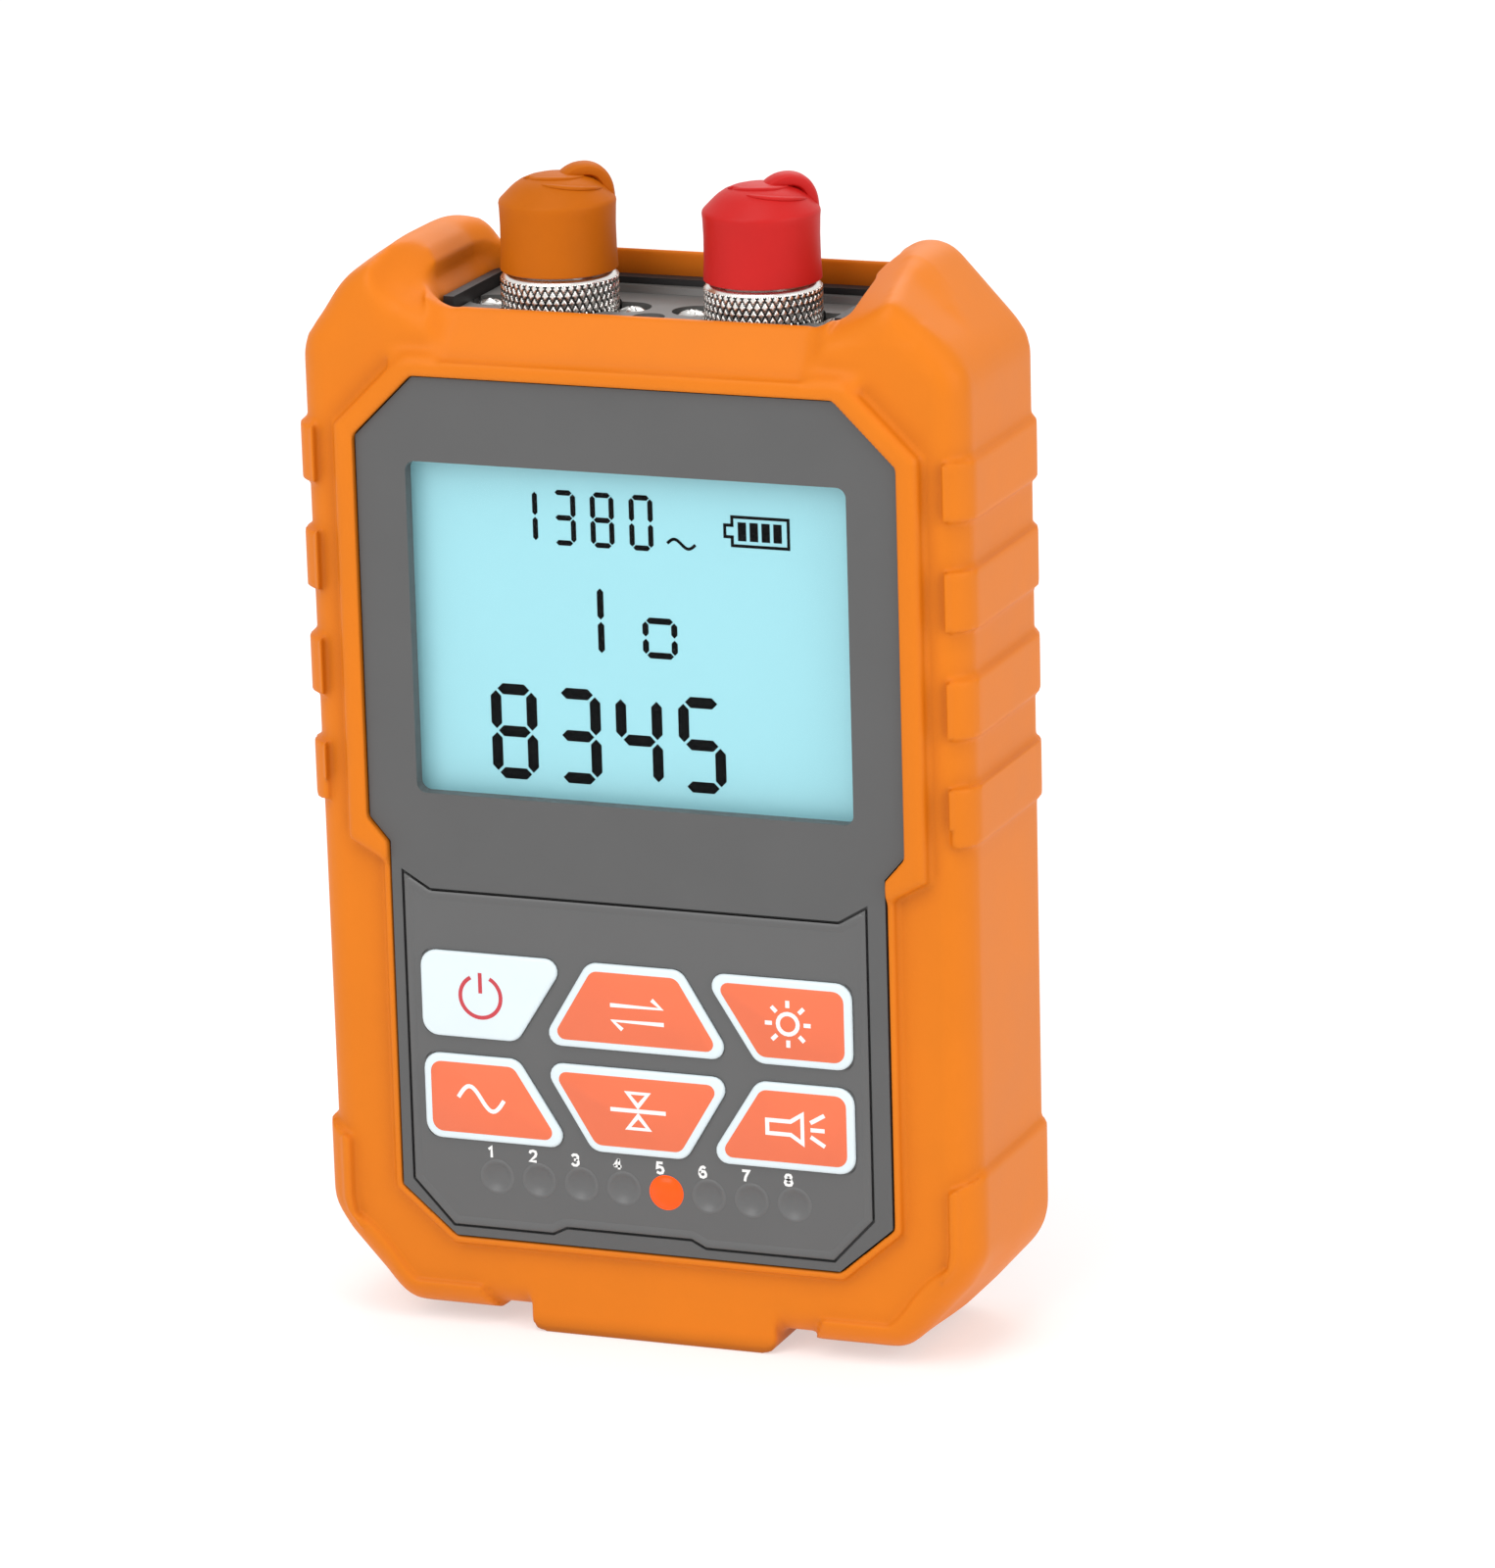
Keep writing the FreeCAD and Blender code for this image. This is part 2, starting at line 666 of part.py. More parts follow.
def horn_cut(side):
    """Takes the front of a horn back in two sloping faces that meet on a line up to its crest."""
    word = "left" if side < 0 else "right"
    ridge_end = (side * dim.ridge_end_x, BORDER, dim.ridge_end_z)
    crest = (side * dim.crest_x, -dim.crest_y, dim.crest_z)
    ridge_start = (side * dim.ridge_x, BORDER, dim.ridge_z)
    shoulder = (side * dim.shoulder_x, -dim.shoulder_y, dim.front_top)
    planes = [
        plane_cutter(word + "_outer_plane", [ridge_start, ridge_end, crest]),
        plane_cutter(word + "_inner_plane", [shoulder, ridge_end, crest]),
    ]
    inner = side * dim.notch_half_width
    outer = side * (dim.sleeve_half_width + dim.cutter_side)
    low, high = (inner, outer) if side > 0 else (outer, inner)
    room = box(word + "_horn_room", (low, -dim.cutter_side, dim.slope_foot),
               (high, dim.well_back, dim.horn_apex + dim.cutter_side))
    return shared_by(word + "_horn_cut", fused(word + "_horn_planes", planes), room)


def well_cut():
    outline = rectangle(-dim.well_half_width, dim.well_half_width, -dim.well_front, dim.well_back)
    clear = dim.horn_apex + dim.corner_radius
    body = slab("well_cut", outline, dim.housing_top - dim.shell_wall, clear)
    names = straight_edges(body.Shape, "Z")
    round_edges(body, body.Tip, names, dim.well_radius)
    return body


def protective_sleeve():
    """One rubber moulding: core, grip lugs, corner bumpers, bead and foot, less its openings."""
    growth = dim.grip_proud
    core = rounded_prism("sleeve_core", sleeve_outline(), BORDER, BACK, ZERO)
    grip = rounded_prism("sleeve_grip", grown(sleeve_outline(), growth), BORDER - growth, BACK, growth)
    bumper = bumper_outline()
    corners = prism("bumper_corners", [bumper, flipped(bumper)], FRONT, BACK)
    proud = shared_by("sleeve_proud", grip, fused("proud_regions", [lug_bands(), corners]))
    solid = fused("sleeve_solid", [core, proud, bead_plate(), rim_plate(), slope_wedge(), foot_block()])

    fit = dim.sleeve_fit
    cavity = prism("sleeve_cavity", [grown(housing_outline(), fit)], HOUSING_FRONT - fit, HOUSING_BACK + fit)
    front = prism("front_window", [grown(bezel_outline(), fit)], FRONT - dim.bead_proud, HOUSING_FRONT)
    rear = prism("rear_window", [grown(rear_outline(), fit)], HOUSING_BACK, BACK + dim.bead_proud)
    round_edges(rear, rear.Tip, straight_edges(rear.Shape, "Y"), dim.rear_radius + fit)
    jack = box("socket_passage",
               (-dim.jack_half_width - dim.jack_fit, -dim.jack_front - dim.jack_fit, -dim.sleeve_base),
               (dim.jack_half_width + dim.jack_fit, dim.jack_back + dim.jack_fit, HOUSING_BASE + fit))
    openings = fused("sleeve_openings", [cavity, front, rear, jack, slope_cut(), well_cut(),
                                         horn_cut(-1), horn_cut(1)])
    return cut_from("protective_sleeve", solid, openings)


# Housing shells

def post_places():
    return [(side * dim.post_x, height) for side in (-1, 1) for height in (dim.post_low, dim.post_high)]


def key_outlines():
    """The six keys from their shared corner positions, by name."""
    upper_low = dim.key_split + dim.key_row_gap / 2
    upper_high = upper_low + dim.key_tall
    lower_high = dim.key_split - dim.key_row_gap / 2
    lower_low = lower_high - dim.key_tall
    outlines = {}
    for names, near_z, far_z in (
        (("key_power", "key_unit", "key_backlight"), upper_high, upper_low),
        (("key_wavelength", "key_reference", "key_torch"), lower_low, lower_high),
    ):
        right = [
            (dim.key_inner_far, far_z),
            (dim.key_outer_x, far_z),
            (dim.key_outer_x, near_z),
            (dim.key_inner_near, near_z),
        ]
        middle = [
            (-dim.key_mid_far, far_z),
            (dim.key_mid_far, far_z),
            (dim.key_mid_near, near_z),
            (-dim.key_mid_near, near_z),
        ]
        outlines[names[0]] = shifted(flipped(right))
        outlines[names[1]] = shifted(middle)
        outlines[names[2]] = shifted(right)
    return outlines


def shifted(outline):
    """An outline of the lower panel, moved left from the meter's middle as the whole panel is."""
    return [(u - dim.panel_shift, v) for u, v in outline]


def light_places():
    total = count(dim.light_count)
    return [(dim.light_pitch * (i - (total - 1) / 2), dim.light_height) for i in range(total)]


def overlay_outline():
    base = dim.overlay_base
    raised = base + dim.overlay_step_rise
    return shifted([
        (-dim.overlay_base_half, base),
        (-dim.overlay_step_left - dim.overlay_step_ramp, base),
        (-dim.overlay_step_left, raised),
        (dim.overlay_step_right, raised),
        (dim.overlay_step_right + dim.overlay_step_ramp, base),
        (dim.overlay_base_half, base),
        (dim.overlay_half_width, dim.overlay_corner),
        (dim.overlay_half_width, dim.overlay_ear),
        (dim.overlay_notch_x, dim.overlay_top),
        (-dim.overlay_notch_x, dim.overlay_top),
        (-dim.overlay_half_width, dim.overlay_ear),
        (-dim.overlay_half_width, dim.overlay_corner),
    ])


def round_housing_corners(body):
    names = straight_edges(body.Shape, "Y", at_corner(housing_outline()))
    round_edges(body, body.Tip, names, dim.housing_radius)


def plate_opening(body):
    """The opening in the top wall that the port plate rises through."""
    fit = dim.plate_fit
    sketch = new_sketch(body, "XY_Plane", dim.housing_top)
    draw_outline(sketch, rectangle(-dim.plate_half_width - fit, dim.plate_half_width + fit,
                                   -dim.plate_front - fit, dim.plate_back + fit))
    pocket(body, sketch, dim.housing_top - SEAT + dim.stack_gap)


def socket_opening(body):
    fit = dim.jack_fit
    sketch = new_sketch(body, "XY_Plane", HOUSING_BASE)
    draw_outline(sketch, rectangle(-dim.jack_half_width - fit, dim.jack_half_width + fit,
                                   -dim.jack_front - fit, dim.jack_back + fit))
    pocket(body, sketch, dim.shell_wall + dim.stack_gap, along=True)


def front_housing():
    """The front shell with its raised panel, display opening, overlay recess and screw posts."""
    body = prism("front_housing", [housing_outline()], HOUSING_FRONT, ZERO)
    round_housing_corners(body)
    panel = front_sketch(body, PANEL)
    draw_outline(panel, bezel_outline())
    pad(body, panel, HOUSING_FRONT - PANEL, along=False)
    inside = front_sketch(body, ZERO)
    draw_outline(inside, grown(housing_outline(), -dim.shell_wall))
    pocket(body, inside, -HOUSING_FRONT - dim.shell_wall, along=True)
    behind_panel = front_sketch(body, ZERO)
    draw_outline(behind_panel, grown(bezel_outline(), -dim.front_wall))
    pocket(body, behind_panel, -PANEL_INSIDE, along=True)
    posts = front_sketch(body, -dim.split_gap / 2)
    for x, z in post_places():
        draw_circle(posts, x, z, dim.post_radius)
    pad(body, posts, -HOUSING_FRONT - dim.split_gap / 2 - dim.shell_wall / 2)
    pilots = front_sketch(body, ZERO)
    for x, z in post_places():
        draw_circle(pilots, x, z, dim.pilot_radius)
    pocket(body, pilots, dim.screw_bite + dim.screw_clear, along=True)
    opening = front_sketch(body, PANEL)
    draw_outline(opening, display_outline())
    pocket(body, opening, dim.front_wall)
    recess = front_sketch(body, PANEL)
    draw_outline(recess, grown(overlay_outline(), dim.overlay_gap))
    pocket(body, recess, OVERLAY_FLOOR - PANEL)
    holes = front_sketch(body, OVERLAY_FLOOR)
    for outline in key_outlines().values():
        draw_outline(holes, grown(outline, dim.key_fit))
    for x, z in light_places():
        draw_circle(holes, x, z, dim.light_radius + dim.light_fit)
    pocket(body, holes, PANEL_INSIDE - OVERLAY_FLOOR)
    plate_opening(body)
    socket_opening(body)
    names = straight_edges(body.Shape, "Y", at_corner(display_outline()))
    round_edges(body, body.Tip, names, dim.display_radius)
    return body


def rear_housing():
    """The rear shell with the battery bay, the seat of its cover and the screw wells."""
    body = prism("rear_housing", [housing_outline()], dim.split_gap, HOUSING_BACK)
    round_housing_corners(body)
    panel = front_sketch(body, HOUSING_BACK)
    draw_outline(panel, rear_outline())
    pad(body, panel, REAR_PANEL - HOUSING_BACK, along=False)
    names = straight_edges(body.Shape, "Y", at_corner(rear_outline()))
    round_edges(body, body.Tip, names, dim.rear_radius)
    inside = front_sketch(body, ZERO)
    draw_outline(inside, grown(housing_outline(), -dim.shell_wall))
    pocket(body, inside, HOUSING_BACK - dim.shell_wall)
    bay_inside = rectangle(-BAY_HALF, BAY_HALF, dim.bay_low, BAY_HIGH)
    bay = front_sketch(body, BAY_FLOOR - dim.bay_wall)
    draw_outline(bay, grown(bay_inside, dim.bay_wall))
    pad(body, bay, HOUSING_BACK - BAY_FLOOR + dim.bay_wall, along=False)
    posts = front_sketch(body, dim.split_gap)
    for x, z in post_places():
        draw_circle(posts, x, z, dim.post_radius)
    pad(body, posts, HOUSING_BACK - dim.split_gap - dim.shell_wall / 2, along=False)
    hollow = front_sketch(body, REAR_PANEL)
    draw_outline(hollow, bay_inside)
    pocket(body, hollow, REAR_PANEL - BAY_FLOOR, along=True)
    seat = front_sketch(body, REAR_PANEL)
    draw_outline(seat, grown(cover_outline(), dim.cover_fit))
    pocket(body, seat, dim.cover_thickness + dim.stack_gap, along=True)
    heads = front_sketch(body, HOUSING_BACK)
    shanks = front_sketch(body, HOUSING_BACK)
    for x, z in post_places():
        draw_circle(heads, x, z, dim.screw_head_radius + dim.screw_clear)
        draw_circle(shanks, x, z, dim.screw_radius + dim.screw_clear)
    pocket(body, heads, dim.screw_head + dim.screw_clear, along=True)
    pocket(body, shanks, HOUSING_BACK, along=True)
    plate_opening(body)
    socket_opening(body)
    return body


def housing_screws():
    """Four screws from the back that hold the shells together."""
    items = []
    head_back = HOUSING_BACK - dim.screw_clear / 2
    for number, (x, z) in enumerate(post_places(), start=1):
        name = "housing_screw_%d" % number
        head = cylinder(name + "_head", (x, head_back, z), dim.screw_head_radius, dim.screw_head, TO_FRONT)
        length = head_back + dim.screw_bite
        shank = cylinder(name + "_shank", (x, head_back, z), dim.screw_radius - dim.screw_clear,
                         length, TO_FRONT)
        half = dim.screw_head_radius * 0.6
        slot_low = head_back - dim.screw_head / 2
        cross = [
            box(name + "_slot", (x - half, slot_low, z - dim.screw_slot / 2),
                (x + half, BACK, z + dim.screw_slot / 2)),
            box(name + "_cross", (x - dim.screw_slot / 2, slot_low, z - half),
                (x + dim.screw_slot / 2, BACK, z + half)),
        ]
        whole = fused(name + "_whole", [head, shank])
        items.append(cut_from(name, whole, fused(name + "_drive", cross)))
    return group_of("housing_screws", items)


# Display stack

def display_window():
    body = prism("display_window", [grown(display_outline(), dim.window_margin)], WINDOW_FRONT,
                 WINDOW_FRONT + dim.window_thickness)
    round_edges(body, body.Tip, straight_edges(body.Shape, "Y"), dim.display_radius)
    return body


def display_cell():
    """The liquid crystal glass, with its lower ledge over the contact strip."""
    ledge = dim.strip_height + 2 * dim.stack_gap
    half_width = dim.display_half_width + dim.window_margin
    points = rectangle(-half_width, half_width, dim.display_low - dim.window_margin - ledge,
                       dim.display_high + dim.window_margin)
    return prism("display_cell", [points], CELL_FRONT, CELL_FRONT + dim.cell_thickness)


def backlight_panel():
    half_width = dim.display_half_width + dim.window_margin
    points = rectangle(-half_width, half_width, dim.display_low - dim.window_margin,
                       dim.display_high + dim.window_margin)
    return prism("backlight_panel", [points], LIGHT_FRONT, LIGHT_FRONT + dim.light_thickness)


def contact_strip():
    high = dim.display_low - dim.window_margin - dim.stack_gap
    return box("contact_strip",
               (-dim.display_half_width, LIGHT_FRONT, high - dim.strip_height),
               (dim.display_half_width, BOARD_FRONT - dim.stack_gap, high))


# Keys and indicators

def keypad_overlay():
    body = prism("keypad_overlay", [overlay_outline()], PANEL, PANEL + dim.overlay_thickness)
    holes = front_sketch(body, PANEL)
    for outline in key_outlines().values():
        draw_outline(holes, grown(outline, dim.key_fit))
    for x, z in light_places():
        draw_circle(holes, x, z, dim.light_radius + dim.light_fit)
    pocket(body, holes, dim.overlay_thickness)
    corners = [corner for outline in key_outlines().values() for corner in grown(outline, dim.key_fit)]
    names = straight_edges(body.Shape, "Y", at_corner(corners))
    round_edges(body, body.Tip, names, dim.key_radius + dim.key_fit)
    return body


def keypad_mat():
    low = dim.key_split - dim.key_row_gap / 2 - dim.key_tall - dim.mat_margin
    high = dim.key_split + dim.key_row_gap / 2 + dim.key_tall + dim.mat_margin
    half = dim.key_outer_x + dim.mat_margin
    return box("keypad_mat", (-half, MAT_FRONT, low), (half, BOARD_FRONT - dim.stack_gap, high))


def key_cap(name, outline):
    """A key that reaches from the overlay to just short of the mat, with a skirt behind the panel."""
    front = PANEL - dim.key_proud
    back = MAT_FRONT - dim.key_travel - dim.key_rest_gap
    body = prism(name, [outline], front, back)
    skirt = front_sketch(body, PANEL_INSIDE + dim.key_rest_gap)
    draw_outline(skirt, grown(outline, dim.key_skirt))
    pad(body, skirt, dim.key_skirt_thickness, along=False)
    names = straight_edges(body.Shape, "Y", at_corner(outline))
    round_edges(body, body.Tip, names, dim.key_radius)
    return body


def indicator(name, x, z):
    """A light pipe with a low domed face, turned about its own axis."""
    body = new_body(name)
    sketch = new_sketch(body, "XZ_Plane")
    tail = BOARD_FRONT - dim.lamp_chip_height - dim.stack_gap * 2 - PANEL + dim.light_dome
    draw_outline(sketch, [
        (ZERO, ZERO),
        (dim.light_radius, -dim.light_dome),
        (dim.light_radius, -tail),
        (ZERO, -tail),
    ])
    revolve(body, sketch)
    body.Placement = FreeCAD.Placement(FreeCAD.Vector(0, 0, 0), TO_FRONT)
    place(body, x, PANEL - dim.light_dome, z)
    return body


def board_lamps():
    """The small lamps on the board, one behind each light pipe."""
    items = []
    half = dim.lamp_chip_half
    back = BOARD_FRONT - dim.stack_gap
    for number, (x, z) in enumerate(light_places(), start=1):
        items.append(box("board_lamp_%d" % number, (x - half, back - dim.lamp_chip_height, z - half),
                         (x + half, back, z + half)))
    return group_of("board_lamps", items)


def main_board():
    outline = rectangle(-dim.board_half_width, dim.board_half_width, dim.board_low, dim.board_high)
    corner = dim.foot_corner_top - dim.sleeve_base
    right = [
        (dim.board_half_width - corner, dim.board_low),
        (dim.board_half_width, dim.board_low + corner),
        (outline[2][0], outline[2][1]),
    ]
    return prism("main_board", [mirrored(right)], BOARD_FRONT, BOARD_BACK)


def control_chip():
    half = dim.chip_side / 2
    low_y = BOARD_BACK + dim.stack_gap
    return box("control_chip", (-half, low_y, dim.chip_height - half),
               (half, low_y + dim.chip_thickness, dim.chip_height + half))


# Battery bay

def battery(name, x, button_up):
    """A cell with its button end up or down."""
    body = new_body(name)
    sketch = new_sketch(body, "XZ_Plane")
    top = dim.cell_length + dim.cell_button
    draw_outline(sketch, [
        (ZERO, ZERO),
        (dim.cell_radius, ZERO),
        (dim.cell_radius, dim.cell_length),
        (dim.cell_button_radius, dim.cell_length),
        (dim.cell_button_radius, top),
        (ZERO, top),
    ])
    revolve(body, sketch)
    if button_up:
        low = dim.bay_low + dim.contact_thickness + dim.spring_length
        place(body, x, CELL_AXIS, low)
    else:
        high = BAY_HIGH - dim.contact_thickness - dim.spring_length
        body.Placement = FreeCAD.Placement(FreeCAD.Vector(0, 0, 0),
                                           FreeCAD.Rotation(FreeCAD.Vector(1, 0, 0), 180))
        place(body, x, CELL_AXIS, high)
    return body


def cell_columns():
    """Middle of each cell and whether its button points up; neighbours alternate."""
    return [(dim.cell_pitch * (i - 1), i % 2 == 0) for i in range(3)]


def coil_shape():
    """A conical coil from straight lengths of square wire, standing on the plane z = 0."""
    wire = dim.spring_wire.value
    steps = count(dim.spring_turns * dim.spring_sides)
    height = dim.spring_length.value - 2 * wire - 2 * dim.stack_gap.value
    points = []
    for i in range(steps + 1):
        share = i / steps
        angle = 2 * math.pi * i / dim.spring_sides.value
        radius = dim.spring_radius.value * (1 - share / 2)
        points.append(FreeCAD.Vector(radius * math.cos(angle), radius * math.sin(angle), height * share))
    path = Part.makePolygon(points)
    along = (points[1] - points[0]).normalize()
    outward = FreeCAD.Vector(points[0].x, points[0].y, 0).normalize()
    across = along.cross(outward).normalize()
    half = wire / 2
    corners = [points[0] + outward * (a * half) + across * (b * half)
               for a, b in ((-1, -1), (1, -1), (1, 1), (-1, 1), (-1, -1))]
    return path.makePipeShell([Part.makePolygon(corners)], True, False, 1)


def battery_springs():
    """A conical coil spring under the flat end of each cell."""
    items = []
    coil = coil_shape()
    lift = dim.contact_thickness + dim.spring_wire + dim.stack_gap
    for number, (x, button_up) in enumerate(cell_columns(), start=1):
        item = doc.addObject("Part::Feature", "battery_spring_%d" % number)
        item.Shape = coil
        height = dim.bay_low + lift if button_up else BAY_HIGH - lift
        item.Placement = FreeCAD.Placement(
            FreeCAD.Vector(x.value, CELL_AXIS.value, height.value),
            FreeCAD.Rotation(FreeCAD.Vector(1, 0, 0), 0 if button_up else 180))
        items.append(item)
    return group_of("battery_springs", items)


def battery_contacts():
    """Spring steel plates at both ends of each cell."""
    items = []
    half = dim.contact_width / 2
    deep = dim.contact_depth / 2
    for number, (x, _) in enumerate(cell_columns(), start=1):
        for end, low in (("low", dim.bay_low), ("high", BAY_HIGH - dim.contact_thickness)):
            items.append(box("battery_contact_%s_%d" % (end, number),
                             (x - half, CELL_AXIS - deep, low),
                             (x + half, CELL_AXIS + deep, low + dim.contact_thickness)))
    return group_of("battery_contacts", items)


def battery_cover():
    """The cover plate with a locating lip inside and finger ribs outside."""
    inner = REAR_PANEL - dim.cover_thickness
    body = prism("battery_cover", [cover_outline()], inner, REAR_PANEL)
    lip_outer = grown(rectangle(-BAY_HALF, BAY_HALF, dim.bay_low, BAY_HIGH), -dim.cover_fit)
    lip = front_sketch(body, inner - dim.cover_lip)
    draw_outline(lip, lip_outer)
    draw_outline(lip, grown(lip_outer, -dim.cover_lip))
    pad(body, lip, dim.cover_lip, along=False)
    grip = front_sketch(body, REAR_PANEL)
    top = BAY_HIGH - dim.cover_grip_pitch
    total = count(dim.cover_grip_count)
    for i in range(total):
        high = top - i * dim.cover_grip_pitch
        draw_outline(grip, rectangle(-dim.cover_grip_half, dim.cover_grip_half,
                                     high - dim.cover_grip_width, high))
    pocket(body, grip, dim.cover_grip_depth, along=True)
    names = straight_edges(body.Shape, "Y", at_corner(cover_outline()))
    round_edges(body, body.Tip, names, dim.cover_lap)
    return body


# Ports

def stadium(sketch, x, y, length, width):
    """A slot outline with round ends, seen from above."""
    radius = width / 2
    straight = (length - width) / 2
    left = FreeCAD.Vector((x - straight).value, as_size(y).value, 0)
    right = FreeCAD.Vector((x + straight).value, as_size(y).value, 0)
    up = FreeCAD.Vector(0, radius.value, 0)
    normal = FreeCAD.Vector(0, 0, 1)
    quarter = math.pi / 2
    first = sketch.GeometryCount
    sketch.addGeometry(Part.LineSegment(left - up, right - up))
    sketch.addGeometry(Part.ArcOfCircle(Part.Circle(right, normal, radius.value), -quarter, quarter))
    sketch.addGeometry(Part.LineSegment(right + up, left + up))
    sketch.addGeometry(Part.ArcOfCircle(Part.Circle(left, normal, radius.value), quarter, 3 * quarter))
    joins = ((0, 2, 1, 1), (1, 2, 2, 1), (2, 2, 3, 1), (3, 2, 0, 1))
    for one, one_end, two, two_end in joins:
        sketch.addConstraint(Sketcher.Constraint("Tangent", first + one, one_end, first + two, two_end))
    number = sketch.addConstraint(Sketcher.Constraint("Radius", first + 1, radius.value))
    sketch.setExpression("Constraints[%d]" % number, radius.text)
    pin_point(sketch, first + 1, 3, x + straight, y)
    number = sketch.addConstraint(Sketcher.Constraint("DistanceX", -1, 1, first + 3, 3, (x - straight).value))
    sketch.setExpression("Constraints[%d]" % number, (x - straight).text)
    doc.recompute()


def port_plate():
    """The grey plate that carries both adapters, with a sunk seat for each flange."""
    low = SEAT - dim.plate_flange_thickness
    body = slab("port_plate", rectangle(-dim.plate_half_width, dim.plate_half_width,
                                        -dim.plate_front, dim.plate_back), SEAT, dim.plate_top)
    names = straight_edges(body.Shape, "Z")
    round_edges(body, body.Tip, names, dim.plate_radius)
    wide = dim.plate_half_width + dim.plate_flange
    flange = new_sketch(body, "XY_Plane", low)
    room = dim.shell_wall + dim.plate_fit
    draw_outline(flange, rectangle(-wide, wide, HOUSING_FRONT + room, HOUSING_BACK - room))
    pad(body, flange, dim.plate_flange_thickness)
    seats = new_sketch(body, "XY_Plane", dim.plate_top)
    rounds = new_sketch(body, "XY_Plane", dim.plate_top)
    passages = new_sketch(body, "XY_Plane", dim.plate_top)
    for side in (-1, 1):
        stadium(seats, side * dim.port_x, ZERO, dim.flange_length + 2 * dim.seat_fit,
                dim.flange_width + 2 * dim.seat_fit)
        draw_circle(rounds, side * dim.port_x, ZERO, dim.ring_radius + dim.seat_fit)
        draw_circle(passages, side * dim.port_x, ZERO, dim.nose_radius + dim.barrel_fit)
    for x in flange_screw_places():
        draw_circle(passages, x, ZERO, dim.flange_screw_radius + dim.barrel_fit / 2)
    draw_circle(passages, ZERO, -dim.torch_y, dim.torch_radius + dim.barrel_fit)
    pocket(body, seats, dim.seat_depth)
    pocket(body, rounds, dim.seat_depth)
    pocket(body, passages, dim.plate_top - low)
    return body


def port_gasket():
    """The black seal that lines the well beside and behind the port plate."""
    outer = dim.well_half_width - dim.gasket_fit
    inner = dim.plate_half_width + dim.gasket_fit
    back = dim.well_back - dim.gasket_fit
    step = dim.plate_back + dim.gasket_fit
    front = dim.well_radius - dim.well_front
    outline = [(-outer, front), (-inner, front), (-inner, step), (inner, step), (inner, front),
               (outer, front), (outer, back), (-outer, back)]
    body = slab("port_gasket", outline, dim.housing_top + dim.stack_gap, dim.gasket_top)
    reach = back.value - 0.01
    edge = outer.value - 0.01
    names = straight_edges(body.Shape, "Z", lambda middle: middle.y > reach and abs(middle.x) > edge)
    round_edges(body, body.Tip, names, dim.well_radius - dim.gasket_fit)
    return body


def flange_screw_places():
    return [side * dim.port_x + end * dim.flange_screw_pitch / 2 for side in (-1, 1) for end in (-1, 1)]


def port_adapter(name, side):
    """A flange with its threaded barrel, bored for the connector's ferrule."""
    x = side * dim.port_x
    body = new_body(name)
    flange = new_sketch(body, "XY_Plane", SEAT)
    stadium(flange, x, ZERO, dim.flange_length, dim.flange_width)
    pad(body, flange, dim.flange_thickness)
    boss = new_sketch(body, "XY_Plane", SEAT)
    draw_circle(boss, x, ZERO, dim.flange_radius)
    pad(body, boss, dim.flange_thickness)
    barrel = new_sketch(body, "XY_Plane", SEAT - dim.barrel_below)
    draw_circle(barrel, x, ZERO, dim.nose_radius)
    pad(body, barrel, NOSE_TOP - SEAT + dim.barrel_below)
    bevel_edges(body, body.Tip, level_edges(body.Shape, "Z", NOSE_TOP.value), dim.nose_chamfer)
    bore = new_sketch(body, "XY_Plane", NOSE_TOP)
    draw_circle(bore, x, ZERO, dim.sleeve_bore + dim.sleeve_tube_wall + dim.ring_fit)
    pocket(body, bore, NOSE_TOP - SEAT + dim.barrel_below)
    key_slot = new_sketch(body, "XY_Plane", NOSE_TOP)
    half = dim.key_slot_width / 2
    draw_outline(key_slot, rectangle(x - half, x + half, -2 * dim.nose_radius, -dim.nose_radius * 0.6))
    pocket(body, key_slot, dim.nose_height * 0.6)
    holes = new_sketch(body, "XY_Plane", FLANGE_TOP)
    for end in (-1, 1):
        draw_circle(holes, x + end * dim.flange_screw_pitch / 2, ZERO,
                    dim.flange_screw_radius + dim.barrel_fit / 2)
    pocket(body, holes, dim.flange_thickness)
    return body


def port_ring(name, side):
    """The knurled ring, with a broad chamfer at its top."""
    body = new_body(name)
    sketch = new_sketch(body, "XZ_Plane")
    inner = dim.nose_radius + dim.ring_fit
    low = dim.ring_fit
    draw_outline(sketch, [
        (inner, low),
        (dim.ring_radius, low),
        (dim.ring_radius, dim.ring_height - dim.ring_chamfer),
        (dim.ring_radius - dim.ring_chamfer, dim.ring_height),
        (inner, dim.ring_height),
    ])
    revolve(body, sketch)
    place(body, side * dim.port_x, ZERO, FLANGE_TOP)
    return body


def tube(name, side, inner, outer, low, high):
    body = new_body(name)
    sketch = new_sketch(body, "XY_Plane", low)
    draw_circle(sketch, side * dim.port_x, ZERO, outer)
    draw_circle(sketch, side * dim.port_x, ZERO, inner)
    pad(body, sketch, as_size(high) - low)
    return body


def ferrule_sleeve(name, side):
    high = NOSE_TOP - dim.nose_chamfer
    return tube(name, side, dim.sleeve_bore, dim.sleeve_bore + dim.sleeve_tube_wall,
                high - dim.sleeve_tube_length, high)


def photodiode():
    high = SEAT - dim.barrel_below - dim.stack_gap
    x = -dim.port_x
    can = cylinder("photodiode_can", (x, ZERO, high - dim.diode_length), dim.diode_radius, dim.diode_length)
    rim = cylinder("photodiode_rim", (x, ZERO, high - dim.diode_length), dim.diode_radius + dim.torch_rim,
                   dim.diode_length / 4)
    return fused("photodiode", [can, rim])


